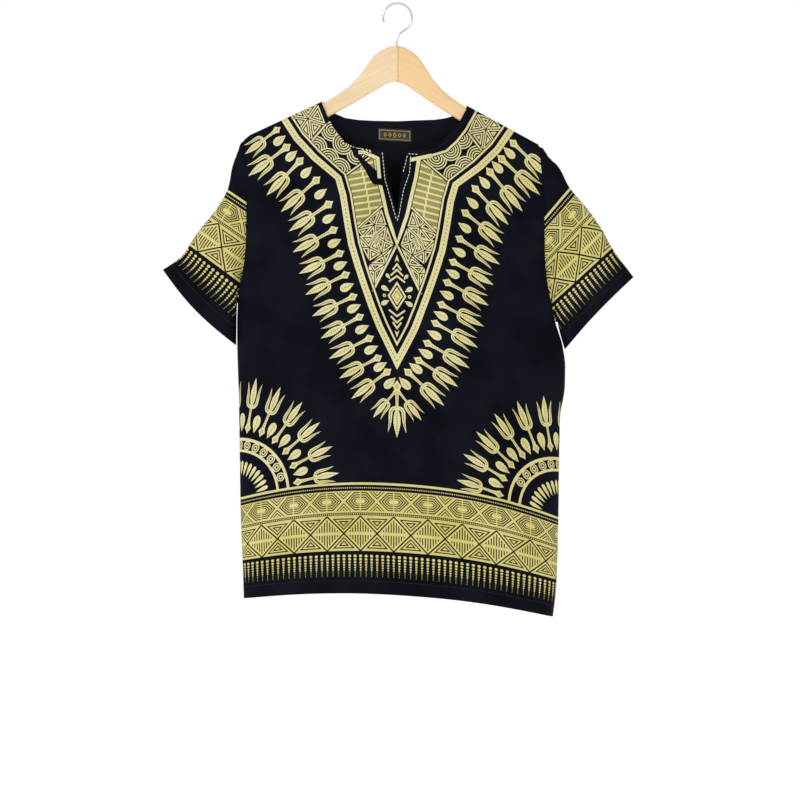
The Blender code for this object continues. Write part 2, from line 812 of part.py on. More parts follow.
def build():
    """Make every piece of the shirt and its hanger."""
    clear_scene()
    parts = new_collection("dashiki_shirt_on_hanger")
    cutters = new_collection("cutters")
    front_cloth = surface("front cloth", (0.012, 0.013, 0.022), 0.8)
    back_cloth = surface("back cloth", (0.010, 0.011, 0.019), 0.8)
    right_cloth = surface("right sleeve cloth", (0.020, 0.019, 0.016), 0.8)
    left_cloth = surface("left sleeve cloth", (0.021, 0.020, 0.017), 0.8)
    satin = surface("label satin", (0.03, 0.024, 0.01), 0.45)
    wood = surface("pale wood", (0.80, 0.62, 0.38), 0.5)
    steel = surface("bright steel", (0.62, 0.62, 0.63), 0.25, metallic=1.0)

    panel("front", -1, FRONT_NECK, FRONT_FOLDS, True, front_cloth, parts)
    panel("back", 1, BACK_NECK, BACK_FOLDS, False, back_cloth, parts)
    sleeve(
        "right_sleeve", -1, RIGHT_SLEEVE_TOP, RIGHT_CUFF_LOW, RIGHT_CUFF_BOW, right_cloth, parts
    )
    sleeve("left_sleeve", 1, LEFT_SLEEVE_TOP, LEFT_CUFF_LOW, LEFT_CUFF_BOW, left_cloth, parts)
    label(satin, parts)
    hanger(wood, parts, cutters)
    hook(steel, parts)


build()
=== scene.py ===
"""How a dashiki shirt on its plain wooden hanger looks.

The cloth is built as thin shells on the forms of the front, the back and the
two sleeves. The gold print is part of each shell's mesh: its motifs are drawn
on the flat pattern by the functions below, and then follow the cloth. On the
flat pattern u runs across from the middle and v is the level above the hem.

Shapes are worked out in millimetres and are turned into metres where a mesh
is made. The origin is the seat of the hook, and the front looks along -Y.
"""

import math
from collections import namedtuple

import bmesh
import bpy
import numpy as np
from mathutils import Matrix, Vector
from mathutils.geometry import delaunay_2d_cdt


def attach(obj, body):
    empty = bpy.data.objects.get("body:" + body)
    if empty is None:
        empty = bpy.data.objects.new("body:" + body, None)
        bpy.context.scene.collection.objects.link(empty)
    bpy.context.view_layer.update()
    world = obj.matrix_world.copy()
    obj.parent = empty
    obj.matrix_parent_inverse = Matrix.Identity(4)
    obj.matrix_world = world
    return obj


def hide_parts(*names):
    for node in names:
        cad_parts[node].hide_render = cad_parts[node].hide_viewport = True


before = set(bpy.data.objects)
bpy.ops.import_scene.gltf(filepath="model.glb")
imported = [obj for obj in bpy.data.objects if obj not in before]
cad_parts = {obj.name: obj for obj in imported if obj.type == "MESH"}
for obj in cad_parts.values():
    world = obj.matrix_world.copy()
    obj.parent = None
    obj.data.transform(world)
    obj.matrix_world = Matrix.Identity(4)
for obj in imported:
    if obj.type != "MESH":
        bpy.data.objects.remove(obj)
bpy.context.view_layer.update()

MM = 0.001


def listed(kind, *rows):
    """A table whose rows have the named columns of a kind."""
    return tuple(kind(*row) for row in rows)


# Cloth
CLOTH = 0.7
SEAM_HALF = 0.0

# How the shirt hangs
HEM_HEIGHT = -883.6
CENTRE_X = -1.5
SHEAR = 0.059
HANGER_TILT = math.radians(1.8)

# Levels on the cloth
UNDERARM_LEVEL = 424.0
SLIT_LEVEL = 565.6
SLIT_TOP_LEVEL = 663.0

# Hanger and hook
WOOD_THICKNESS = 12.0
WOOD_ROUNDING = 4.0
WOOD_TO_SHOULDER = 2.2
NECK_HALF = 107.6
NECK_HEIGHT = -148.5
ARM_SLOPE = 0.504
ARM_END = 216.0
ARM_STATIONS = (122.0, 145.0, 175.0, ARM_END - 12.0)
BEYOND_ARM_OUT = 12.0
BEYOND_ARM_DOWN = 11.0
NECK_TURN_IN = 0.6
WOOD_UNDER_NECK_POINT = 3.6
SHOULDER_DEPTH = 7.1
SHOULDER_DROP = 6.0
FLAT_BELOW_SHOULDER = 60.0
FLAT_BLEND = 50.0
WIRE = 3.2
HOOK_INNER_RADIUS = 20.0
HOOK_START = math.radians(-60.0)
HOOK_END = math.radians(200.0)
SHANK_DEPTH = 18.0
SWING_STEPS = 12
HOOK_STEPS = 56

# Side outline of the body: the side seam below the underarm, the armhole above
Outline = namedtuple("Outline", "level left right")
OUTLINE = listed(
    Outline,
    (0, -231.0, 232.0), (50, -232.5, 237.0), (150, -235.8, 240.0), (300, -238.3, 242.5),
    (345, -240.0, 250.0), (370, -240.8, 250.5), (395, -241.0, 246.5), (424, -240.0, 236.0),
    (455, -235.0, 228.0), (485, -230.0, 222.5), (520, -227.2, 219.5), (577, -226.5, 218.7),
    (625, -228.2, 216.5), (685, -232.5, 211.0),
)

# How far the sides hang lower than the middle, at the outline's full width
Drop = namedtuple("Drop", "level sides_lower")
DROPS = listed(
    Drop,
    (0, 22.0), (165, 37.0), (240, 35.0), (360, 14.0), (480, 0.0), (760, 0.0),
)
DROP_WIDTH = 240.0
DROP_POWER = 2.2

# How squarely the sides round off: at the side seam and at the armhole
SIDE_POWER = 5.0
ARMHOLE_POWER = 9.0
POWER_CHANGE_LEVEL = 380.0
POWER_CHANGE_SPAN = 80.0

# Half the depth of the shirt at a distance below its shoulder line
Depth = namedtuple("Depth", "below half")
DEPTHS = listed(
    Depth,
    (SHOULDER_DROP, SHOULDER_DEPTH), (40, 8.6), (80, 12.5), (150, 20.5), (220, 27.0),
    (310, 34.0), (430, 40.0), (600, 44.0), (780, 46.0),
)

# Half the opening of the armhole, along its length from the underarm up
Armhole = namedtuple("Armhole", "along half")
ARMHOLE = listed(
    Armhole,
    (0.0, SEAM_HALF), (0.03, 5.0), (0.09, 7.4), (0.2, 9.4), (0.33, 10.6), (0.47, 11.2),
    (0.61, 10.8), (0.74, 9.6), (0.87, 8.4), (1.0, SHOULDER_DEPTH),
)

# Neck edges from the middle to the left and right neck points
Neck = namedtuple("Neck", "left left_level right right_level")
FRONT_NECK = (
    Neck(-21.0, SLIT_TOP_LEVEL, 12.0, SLIT_TOP_LEVEL),
    Neck(-45.0, 662.5, 31.0, 666.5),
    Neck(-64.0, 664.5, 49.8, 673.5),
    Neck(-79.5, 671.0, 65.1, 682.4),
    Neck(-96.0, 691.0, 78.9, 696.0),
    Neck(-107.0, 711.5, 93.5, 715.0),
)
BACK_NECK = (
    Neck(CENTRE_X, 709.1, CENTRE_X, 709.1),
    Neck(-35.0, 707.7, 30.0, 712.3),
    Neck(-60.0, 707.5, 55.0, 714.6),
    Neck(-80.0, 709.5, 72.0, 718.0),
    Neck(-97.0, 716.0, 88.0, 724.0),
)

# Slit edges at its foot, at the bend near its middle and at its top
Slit = namedtuple("Slit", "level left right")
SLIT = listed(
    Slit,
    (SLIT_LEVEL, -1.6, -1.4), (615.0, -12.0, 3.5), (SLIT_TOP_LEVEL, -21.0, 12.0),
)

# Large soft folds: place, lean per level, depth (out is positive), width, levels
Fold = namedtuple("Fold", "x lean depth width low high")
FRONT_FOLDS = (
    Fold(118.0, 0.03, -4.0, 16.0, 60, 560),
    Fold(163.0, 0.05, -4.5, 14.0, 90, 600),
    Fold(140.0, 0.04, 2.5, 15.0, 60, 580),
    Fold(-150.0, -0.06, -3.5, 18.0, 40, 520),
    Fold(-60.0, 0.02, -2.5, 24.0, -80, 330),
    Fold(45.0, -0.02, 3.0, 26.0, -80, 300),
    Fold(-190.0, 0.04, -3.0, 13.0, 250, 640),
    Fold(186.0, -0.03, -3.0, 12.0, 300, 640),
)
BACK_FOLDS = (
    Fold(-110.0, 0.04, -4.5, 18.0, 40, 600),
    Fold(-40.0, -0.02, 3.0, 22.0, 0, 520),
    Fold(30.0, 0.03, -4.0, 18.0, 60, 620),
    Fold(125.0, -0.05, -4.5, 16.0, 20, 560),
    Fold(175.0, 0.03, 2.5, 13.0, 120, 600),
    Fold(-180.0, -0.02, -3.0, 14.0, 220, 630),
)
FOLD_RISE = 90.0
FOLD_FALL = 130.0
CALM_SIDE_SHARE = 0.12
CALM_BELOW_SHOULDER = 20.0
CALM_SPAN = 60.0

# Upper edge of each sleeve, from the shoulder seam to the cuff
Point = namedtuple("Point", "x z")
RIGHT_SLEEVE_TOP = listed(
    Point,
    (-239.5, -219.0), (-248.3, -244.0), (-253.8, -273.0), (-266.0, -298.0), (-301.5, -344.0),
    (-325.5, -379.0), (-352.5, -398.0),
)
LEFT_SLEEVE_TOP = listed(
    Point,
    (226.0, -229.0), (241.0, -244.0), (256.0, -273.0), (288.0, -312.0), (304.5, -336.0),
    (320.0, -364.0), (353.0, -409.0),
)
RIGHT_CUFF_LOW = Point(-243.0, -511.0)
LEFT_CUFF_LOW = Point(250.2, -517.0)
RIGHT_CUFF_BOW = 7.0
LEFT_CUFF_BOW = -3.0
LOW_EDGE_SHARES = (0.0, 0.035, 0.11, 1.0)
SLEEVE_INSET = 1.5
SLEEVE_SEAM_STEP = 0.4
SLEEVE_TOP_OUT = 4.0
SLEEVE_TOP_DOWN = 1.0
SLEEVE_HALF_DEPTH = 15.0
CUFF_HALF_DEPTH = 18.0
SLEEVE_FULL_FROM = 0.03
SLEEVE_FULL_OVER = 0.3
SLEEVE_ROUND_POWER = 0.8
UNDERARM_OUT = {-1: (1.7, 2.6), 1: (4.0, 6.0)}
UNDERARM_DOWN = 10.0
WAVE_DEPTH = 2.2
WAVES_AROUND = 1.4
WAVE_SHIFT = 0.8
ROOT_POINTS = 200
BEYOND_STEP = 0.01

# Rows of the print on a sleeve: distance from the cuff, distance along the
# upper fold, and how steeply the row falls
Row = namedtuple("Row", "level along_fold degrees")
RIGHT_SLEEVE_ROWS = listed(
    Row,
    (0.0, 0.0, 46.0), (64.0, 55.0, 36.5), (166.0, 156.0, 34.0), (266.0, 256.0, 34.0),
)
LEFT_SLEEVE_ROWS = listed(
    Row,
    (0.0, 0.0, 45.8), (64.0, 54.0, 42.5), (166.0, 165.0, 49.7), (266.0, 265.0, 49.7),
)
SLEEVE_LOWEST = -4.0
SLEEVE_HIGHEST = 260.0
SLEEVE_ROW_STEP = 2.0
NEAR_FOLD = (0.0, 0.05, 0.2, 0.5, 1.0, 1.8, 3.0, 4.5)
AWAY_FROM_FOLD = (6.5, 200.0, 2.5)
EVEN_ACROSS = (0.0, 220.0, 1.5)
NEWTON_STEPS = 6
SLOPE_STEP = 0.002
LONGEST_STEP = 0.08
GUESS_RANGE = (-0.6, 1.6)

# Wooden hanger: upper and lower edge at a distance from its middle
Wood = namedtuple("Wood", "out upper lower")
WOOD = listed(
    Wood,
    (0.0, -62.0, -115.5), (12.0, -64.0, -119.0), (23.0, -69.8, -125.5), (34.4, -79.0, -132.6),
    (44.4, -93.5, -139.2), (56.0, -110.8, -146.6), (69.7, -125.7, -154.8),
    (86.3, -138.6, -164.4),
)
WOOD_ARM_DEPTH = 26.5
WOOD_END_DEPTH = 15.0
WOOD_NECK_THINNING = 1.2
WOOD_END_REACH = 11.0
WOOD_END_DROP = 2.0
WOOD_END_ANGLES = (60, 30, 0, -30, -60)

# Label inside the back neck
LABEL_THICKNESS = 0.5
LABEL_LEFT = -31.0
LABEL_RIGHT = 21.0
LABEL_LOW = 679.0
LABEL_HIGH = 697.0
LABEL_OFF_CLOTH = 0.25
LABEL_FRAME = (2.2, 2.8)
LABEL_MARKS = ((-15.0, 3.2), (-7.5, 3.2), (0.0, 4.6), (7.5, 3.2), (15.0, 3.2))
LABEL_MARK_HALF = 2.6
LABEL_MARK_INSETS = (0.0, 0.7)

# The flat pattern and how finely the shells follow the cloth
PATTERN_HALF = 260.0
FLAT_SHARE = 0.72
CLOTH_STEP = 5.0
EDGE_STEP = 3.0
TURN_BELOW = (0.1, 0.35, 0.8, 1.6, 2.8, 4.4, 6.2)
TURN_FROM = 2.0
TURN_TO = 1.0
TURN_STEP = 4.0
GRID_MARGIN = 2.0
NORMAL_STEP = 0.8
SHOULDER_SEARCH_STEPS = 30
SMALLEST_PRINT = 0.05
PRINT_STEP = 5.0

# Finishes of the cloth and the wood, in metres
THREADS_PER_METRE = 2200.0
CREASE_HEIGHT = 0.004
WEAVE_HEIGHT = 0.0002
BORDER_FADE = (0.158, 0.172)
SIDE_FADE = (0.02, 0.2)
GLUE_LINE_HALF = 0.0005

# Studio, in metres: floor, surround, lights and camera
FLOOR_SIZE = 30.0
FLOOR_LEVEL = -1.6
SURROUND_LIGHT = 0.74
LIGHTS_AIM = (0.0, 0.0, -0.6)
Light = namedtuple("Light", "name place size power")
LIGHTS = (
    Light("key light", (-2.4, -1.9, 1.3), 1.4, 30.0),
    Light("fill light", (2.2, -2.4, 0.2), 2.0, 6.0),
    Light("back light", (1.2, 2.6, 0.8), 1.8, 14.0),
)
LENS = 150.0
SENSOR = 36.0
CAMERA_PLACE = (0.003, -5.0, -0.5933)

# Layout of the map that the looks are baked on
BAKE_SPAN = 0.98
BAKE_OUTER = 0.72
BAKE_GAP = 0.01
BAKE_RIM = 1.2

# Inks of the print, each a material slot of the cloth
GROUND = 0
GOLD = 1
OLIVE = 2
BRIGHT = 3
INSIDE = 4


def smooth_step(value):
    """Ease from 0 to 1 with level ends."""
    value = np.clip(value, 0.0, 1.0)
    return value * value * (3.0 - 2.0 * value)


def through(places, values, at):
    """Read a smooth line through a table, without overshoot between its rows."""
    places = np.asarray(places, dtype=float)
    values = np.asarray(values, dtype=float)
    at = np.clip(np.asarray(at, dtype=float), places[0], places[-1])
    steps = np.diff(places)
    slopes = np.diff(values) / steps
    tangents = np.zeros(len(places))
    tangents[0] = slopes[0]
    tangents[-1] = slopes[-1]
    for row in range(1, len(places) - 1):
        before = slopes[row - 1]
        after = slopes[row]
        if before * after > 0.0:
            tangents[row] = 2.0 * before * after / (before + after)
    row = np.clip(np.searchsorted(places, at, side="right") - 1, 0, len(steps) - 1)
    part = (at - places[row]) / steps[row]
    squared = part * part
    cubed = squared * part
    start = values[row] * (2.0 * cubed - 3.0 * squared + 1.0)
    end = values[row + 1] * (3.0 * squared - 2.0 * cubed)
    leave = tangents[row] * steps[row] * (cubed - 2.0 * squared + part)
    arrive = tangents[row + 1] * steps[row] * (cubed - squared)
    return start + end + leave + arrive


def column(table, name):
    """One named column of a table."""
    return [getattr(row, name) for row in table]


def lengths_along(points):
    """Distance of each point of a line from its start."""
    points = np.asarray(points, dtype=float)
    return np.concatenate(([0.0], np.cumsum(np.hypot(*np.diff(points, axis=0).T))))


def read_along(points, at):
    """Places on a polyline at distances from its start."""
    points = np.asarray(points, dtype=float)
    lengths = lengths_along(points)
    return np.stack([np.interp(at, lengths, points[:, axis]) for axis in (0, 1)], axis=-1)


def tilted(x, z):
    """Turn a point of the level hanger about the hook's seat to where it hangs."""
    cosine = math.cos(HANGER_TILT)
    sine = math.sin(HANGER_TILT)
    return x * cosine + z * sine, z * cosine - x * sine


def height(x, level):
    """World height of the cloth at a place across and a level."""
    drop = through(column(DROPS, "level"), column(DROPS, "sides_lower"), level)
    sag = drop * (np.abs(x) / DROP_WIDTH) ** DROP_POWER
    return HEM_HEIGHT + level - SHEAR * x - sag


def shoulder_line():
    """The shoulder seams and the straight line across the neck, as x and level."""
    arm_drop = ARM_SLOPE * (ARM_END - NECK_HALF)
    inner = (NECK_HALF, NECK_HEIGHT)
    outer = (ARM_END, NECK_HEIGHT - arm_drop)
    end = (ARM_END + BEYOND_ARM_OUT, NECK_HEIGHT - arm_drop - BEYOND_ARM_DOWN)
    points = []
    for side, order in ((-1, (end, outer, inner)), (1, (inner, outer, end))):
        for out, up in order:
            x, z = tilted(side * out, up)
            points.append((x, z - HEM_HEIGHT + SHEAR * x))
    return np.array(points)


SHOULDER = shoulder_line()
SEAM_ENDS = {-1: SHOULDER[1], 1: SHOULDER[4]}
NECK_POINTS = {-1: SHOULDER[2], 1: SHOULDER[3]}


def shoulder_level(x):
    """Level of the shoulder line at a place across."""
    return np.interp(x, SHOULDER[:, 0], SHOULDER[:, 1])


def edge_x(level, side):
    """Place of the side seam or armhole at a level."""
    name = "left" if side < 0 else "right"
    return through(column(OUTLINE, "level"), column(OUTLINE, name), level)


def shoulder_point(side):
    """Where the shoulder seam meets the armhole, as x and level."""
    level = OUTLINE[-1].level
    for _ in range(SHOULDER_SEARCH_STEPS):
        x = float(edge_x(level, side))
        level = float(shoulder_level(x))
    return x, level


SHOULDER_POINTS = {side: shoulder_point(side) for side in (-1, 1)}


def hanging_depth(below):
    """Half depth of the shirt at a distance below the shoulder line."""
    curve = np.clip(1.0 - below / SHOULDER_DROP, 0.0, 1.0)
    over_wood = SEAM_HALF + (SHOULDER_DEPTH - SEAM_HALF) * np.sqrt(1.0 - curve * curve)
    lower = through(column(DEPTHS, "below"), column(DEPTHS, "half"), below)
    return np.where(below < SHOULDER_DROP, over_wood, lower)


def armhole_depth(level, side):
    """Half depth at the side seam, which is closed, or at the open armhole."""
    top = SHOULDER_POINTS[side][1]
    share = (level - UNDERARM_LEVEL) / (top - SHOULDER_DROP - UNDERARM_LEVEL)
    return through(column(ARMHOLE, "along"), column(ARMHOLE, "half"), share)


def roundness(level):
    """How squarely the side rounds off: more along the armhole."""
    change = smooth_step((level - POWER_CHANGE_LEVEL) / POWER_CHANGE_SPAN)
    return SIDE_POWER + (ARMHOLE_POWER - SIDE_POWER) * change


def fold_relief(folds, x, level):
    """How far the folds lift the cloth."""
    relief = np.zeros(np.broadcast(x, level).shape)
    for fold in folds:
        middle = fold.x + fold.lean * (level - fold.low)
        across = np.exp(-((x - middle) / fold.width) ** 2)
        rise = smooth_step((level - fold.low) / FOLD_RISE)
        fall = smooth_step((fold.high - level) / FOLD_FALL)
        relief = relief + fold.depth * across * rise * fall
    return relief


def side_turn(step, level):
    """Share of the way out to the side, and how full the depth still is there."""
    power = roundness(level)
    start = np.arcsin(FLAT_SHARE ** (power / 2.0))
    flat = FLAT_SHARE * np.clip(step, 0.0, 1.0)
    turn = np.where(
        step <= 1.0,
        np.arcsin(flat ** (power / 2.0)),
        start + (math.pi / 2.0 - start) * np.clip(step - 1.0, 0.0, 1.0),
    )
    share = np.where(step <= 1.0, flat, np.sin(turn) ** (2.0 / power))
    return share, np.cos(turn)


def step_at(share, level):
    """The inverse of side_turn: the step at a share of the way out."""
    power = roundness(level)
    start = np.arcsin(FLAT_SHARE ** (power / 2.0))
    turn = np.arcsin(np.clip(share, 0.0, 1.0) ** (power / 2.0))
    return np.where(
        share <= FLAT_SHARE,
        share / FLAT_SHARE,
        1.0 + (turn - start) / (math.pi / 2.0 - start),
    )


def reach(level, side):
    """Distance from the middle of the panel to its edge."""
    return side * (edge_x(level, side) - CENTRE_X)


def edge_depth(level, side, hanging):
    """Half depth at the panel's edge, which joins the hanging depth near the shoulder."""
    top = SHOULDER_POINTS[side][1]
    near_top = smooth_step((level - top + FLAT_BELOW_SHOULDER) / FLAT_BLEND)
    edge = armhole_depth(level, side)
    return edge + (hanging - edge) * near_top


def section(step, level, side, over_wood=True):
    """Place across and half depth of the cloth without its folds."""
    share, full = side_turn(step, level)
    x = CENTRE_X + side * reach(level, side) * share
    below = shoulder_level(x) - level
    if not over_wood:
        below = np.maximum(below, SHOULDER_DROP)
    hanging = hanging_depth(below)
    edge = edge_depth(level, side, hanging)
    return x, edge + (hanging - edge) * full, share, below


ARC_LEVELS = np.arange(0.0, 761.0, 4.0)
ARC_STEPS = np.linspace(0.0, 2.0, 161)
ARC_WIDTHS = np.arange(0.0, 281.0, 1.0)


def arc_tables(side):
    """Flat width at each level and step, and the step at each level and flat width."""
    level, step = np.meshgrid(ARC_LEVELS, ARC_STEPS, indexing="ij")
    x, depth, _, _ = section(step, level, side, over_wood=False)
    runs = np.hypot(np.diff(x, axis=1), np.diff(depth, axis=1))
    widths = np.concatenate((np.zeros((len(level), 1)), np.cumsum(runs, axis=1)), axis=1)
    underarm = np.searchsorted(ARC_LEVELS, UNDERARM_LEVEL)
    full = widths[np.minimum(np.arange(len(level)), underarm), -1]
    widths = widths * (PATTERN_HALF / full)[:, None]
    steps = np.array([np.interp(ARC_WIDTHS, row, ARC_STEPS) for row in widths])
    return widths, steps


ARCS = {side: arc_tables(side) for side in (-1, 1)}


def read_grid(grid, rows, columns, row, place):
    """Bilinear reading of a grid at (row, place)."""
    row = np.clip((row - rows[0]) / (rows[1] - rows[0]), 0.0, len(rows) - 1.001)
    place = (place - columns[0]) / (columns[1] - columns[0])
    place = np.clip(place, 0.0, len(columns) - 1.001)
    low = row.astype(int)
    first = place.astype(int)
    up = row - low
    on = place - first
    bottom = grid[low, first] * (1.0 - on) + grid[low, first + 1] * on
    top = grid[low + 1, first] * (1.0 - on) + grid[low + 1, first + 1] * on
    return bottom * (1.0 - up) + top * up


def to_flat(x, level):
    """Flat pattern width u of a place across at a level."""
    x = np.asarray(x, dtype=float)
    level = np.asarray(level, dtype=float) + np.zeros(x.shape)
    flat = np.zeros(x.shape)
    for side in (-1, 1):
        mask = (x < CENTRE_X) if side < 0 else (x >= CENTRE_X)
        share = np.abs(x - CENTRE_X) / reach(level, side)
        step = step_at(share, level)
        width = read_grid(ARCS[side][0], ARC_LEVELS, ARC_STEPS, level, step)
        flat = np.where(mask, side * width, flat)
    return flat


def cloth_place(u, v, face, folds):
    """Points of the front (face -1) or the back (face 1) for places on the flat pattern."""
    u = np.asarray(u, dtype=float)
    v = np.asarray(v, dtype=float)
    points = np.zeros(u.shape + (3,))
    for side in (-1, 1):
        mask = (u < 0.0) if side < 0 else (u >= 0.0)
        level = v[mask]
        step = read_grid(ARCS[side][1], ARC_LEVELS, ARC_WIDTHS, level, np.abs(u[mask]))
        x, depth, share, below = section(step, level, side)
        calm = smooth_step((1.0 - share) / CALM_SIDE_SHARE)
        calm = calm * smooth_step((below - CALM_BELOW_SHOULDER) / CALM_SPAN)
        depth = depth + fold_relief(folds, x, level) * calm
        points[mask, 0] = x
        points[mask, 1] = face * depth
        points[mask, 2] = height(x, level)
    return points


def divided(points, step, closed=False):
    """A polyline with no run longer than a step."""
    points = [tuple(point) for point in points]
    if closed:
        points.append(points[0])
    made = []
    for start, end in zip(points, points[1:]):
        count = max(1, math.ceil(math.dist(start, end) / step))
        for index in range(count):
            part = index / count
            made.append(tuple(a + (b - a) * part for a, b in zip(start, end)))
    if not closed:
        made.append(points[-1])
    return made


def inside_loop(loop, points):
    """Which points lie inside a closed loop."""
    inside = np.zeros(len(points), dtype=bool)
    x = points[:, 0]
    y = points[:, 1]
    for (x0, y0), (x1, y1) in zip(loop, np.roll(loop, -1, axis=0)):
        if y0 == y1:
            continue
        crosses = (y0 > y) != (y1 > y)
        inside ^= crosses & (x < (x1 - x0) * (y - y0) / (y1 - y0) + x0)
    return inside


def grid_inside(loop, step, margin):
    """Points of an offset grid inside a loop and not closer to it than a margin."""
    loop = np.asarray(loop)
    low = loop.min(axis=0)
    high = loop.max(axis=0)
    rows = np.arange(low[1] + step / 2, high[1], step)
    columns = np.arange(low[0] + step / 2, high[0], step)
    u, v = np.meshgrid(columns, rows)
    u = u + step / 2 * (np.arange(len(rows)) % 2)[:, None]
    points = np.stack((u.ravel(), v.ravel()), axis=1)
    points = points[inside_loop(loop, points)]
    gaps = np.full(len(points), np.inf)
    for corner in loop:
        gaps = np.minimum(gaps, np.hypot(*(points - corner).T))
    return points[gaps > margin]


def signed_area(shape):
    """Area inside a closed shape, positive where it runs counter-clockwise."""
    shape = np.asarray(shape, dtype=float)
    after = np.roll(shape, -1, axis=0)
    return (shape[:, 0] * after[:, 1] - after[:, 0] * shape[:, 1]).sum() / 2


def triangulated(loop, extra, prints):
    """Triangles of the flat cloth with the ink of the topmost print shape on each."""
    corners = [Vector(point) for point in loop]
    polygons = [list(range(len(loop)))]
    inks = [GROUND]
    for shape, ink in prints:
        start = len(corners)
        shape = np.asarray(shape)
        area = signed_area(shape)
        if abs(area) < SMALLEST_PRINT:
            continue
        if area < 0.0:
            shape = shape[::-1]
        shape = divided(shape.tolist(), PRINT_STEP, closed=True)
        corners += [Vector(point) for point in shape]
        polygons.append(list(range(start, len(corners))))
        inks.append(ink)
    corners += [Vector(point) for point in extra]
    flat, _, faces, _, _, owners = delaunay_2d_cdt(corners, [], polygons, 1, 1e-4)
    kept = [(face, max(owner)) for face, owner in zip(faces, owners) if 0 in owner]
    used = sorted({corner for face, _ in kept for corner in face})
    new = {corner: index for index, corner in enumerate(used)}
    points = np.array([flat[corner][:] for corner in used])
    triangles = [[new[corner] for corner in face] for face, _ in kept]
    return points, triangles, [inks[top] for _, top in kept]


def border_loops(triangles):
    """Closed loops of corners along the border of a set of triangles."""
    follows = {}
    for face in triangles:
        for start, end in zip(face, face[1:] + face[:1]):
            follows[(start, end)] = True
    after = {start: end for start, end in follows if (end, start) not in follows}
    loops = []
    while after:
        start, corner = after.popitem()
        loop = [start]
        while corner != start:
            loop.append(corner)
            corner = after.pop(corner)
        loops.append(loop)
    return loops


def linked(name, data):
    """A new object in the scene."""
    made = bpy.data.objects.new(name, data)
    bpy.context.scene.collection.objects.link(made)
    return made


def shell(name, loop, extra, prints, place, thickness, materials):
    """A closed cloth shell: the printed outer face, a plain inner face and their edge."""
    points, outer, inks = triangulated(loop, extra, prints)
    border = border_loops(outer)[0]
    inner_points, inner, _ = triangulated(points[border], extra, ())
    top = place(points[:, 0], points[:, 1]) + cloth_normals(place, points) * thickness / 2
    under = place(inner_points[:, 0], inner_points[:, 1])
    under = under - cloth_normals(place, inner_points) * thickness / 2
    count = len(top)
    keys = {tuple(np.round(point, 4)): index for index, point in enumerate(inner_points)}
    partner = [count + keys[tuple(np.round(points[corner], 4))] for corner in border]
    after = border[1:] + border[:1]
    after_partner = partner[1:] + partner[:1]
    rim = list(zip(after, border, partner, after_partner))
    faces = [tuple(face) for face in outer]
    faces += [tuple(count + corner for corner in face[::-1]) for face in inner]
    faces += rim
    slots = list(inks) + [INSIDE] * len(inner) + [GROUND] * len(rim)
    flat = np.concatenate((points, inner_points))
    mesh = cloth_mesh(name, np.concatenate((top, under)), faces, slots, materials)
    add_uv(mesh, "cloth", flat[np.concatenate([np.array(face) for face in faces])] * MM)
    add_uv(mesh, "OFBake", bake_places(points, outer, inner_points, inner, border))
    sharp_borders(mesh, count)
    return linked(name, mesh)


def cloth_normals(place, flat):
    """Outward directions of the cloth, from its slopes on the flat pattern."""
    u, v = flat.T
    across = place(u + NORMAL_STEP, v) - place(u - NORMAL_STEP, v)
    up = place(u, v + NORMAL_STEP) - place(u, v - NORMAL_STEP)
    normal = np.cross(across, up)
    return normal / np.maximum(np.linalg.norm(normal, axis=1), 1e-9)[:, None]


def cloth_mesh(name, places, faces, slots, materials):
    """A smooth mesh with a material slot for each face."""
    mesh = bpy.data.meshes.new(name)
    mesh.from_pydata((places * MM).tolist(), [], faces)
    for material in materials:
        mesh.materials.append(material)
    mesh.polygons.foreach_set("material_index", slots)
    mesh.polygons.foreach_set("use_smooth", [True] * len(faces))
    mesh.update()
    return mesh


def add_uv(mesh, name, places):
    """A UV map from a place for each corner of each face."""
    layer = mesh.uv_layers.new(name=name)
    layer.data.foreach_set("uv", np.ascontiguousarray(places, dtype=np.float32).ravel())


def bake_places(points, outer, inner_points, inner, border):
    """Places on the bake's square: the outer face large, the inner face small beside it."""
    low = points.min(axis=0)
    size = points.max(axis=0) - low
    wide = size[0] > size[1]
    if wide:
        size = size[::-1]
    large = min(BAKE_SPAN / size[1], BAKE_OUTER / size[0])
    small = min(BAKE_SPAN / size[1], (BAKE_SPAN - large * size[0] - 2 * BAKE_GAP) / size[0])
    shift = BAKE_GAP * 2 + large * size[0]

    def laid(corners, scale, across):
        corners = corners - low
        if wide:
            corners = corners[:, ::-1] * (-1.0, 1.0) + (size[0], 0.0)
        return corners * scale + (across, BAKE_GAP)

    edge = points[border]
    run = np.roll(edge, -1, axis=0) - np.roll(edge, 1, axis=0)
    run = run / np.hypot(run[:, 0], run[:, 1])[:, None]
    beyond = edge + np.stack((run[:, 1], -run[:, 0]), axis=1) * BAKE_RIM
    corners = np.stack(
        (np.roll(edge, -1, axis=0), edge, beyond, np.roll(beyond, -1, axis=0)), axis=1
    )
    face_side = laid(points[np.array(outer).ravel()], large, BAKE_GAP)
    under_side = laid(inner_points[np.array(inner)[:, ::-1].ravel()], small, shift)
    return np.concatenate((face_side, under_side, laid(corners.reshape(-1, 2), large, BAKE_GAP)))


def sharp_borders(mesh, outer_count):
    """Keep the edges between a shell's faces and its rim sharp."""
    ends = np.zeros(len(mesh.edges) * 2, dtype=int)
    mesh.edges.foreach_get("vertices", ends)
    ends = ends.reshape(-1, 2)
    rim = (ends < outer_count).any(axis=1) & (ends >= outer_count).any(axis=1)
    on_rim = np.zeros(len(mesh.vertices), dtype=bool)
    on_rim[ends[rim].ravel()] = True
    sharp = mesh.attributes.new("sharp_edge", "BOOLEAN", "EDGE")
    sharp.data.foreach_set("value", on_rim[ends].all(axis=1) & ~rim)


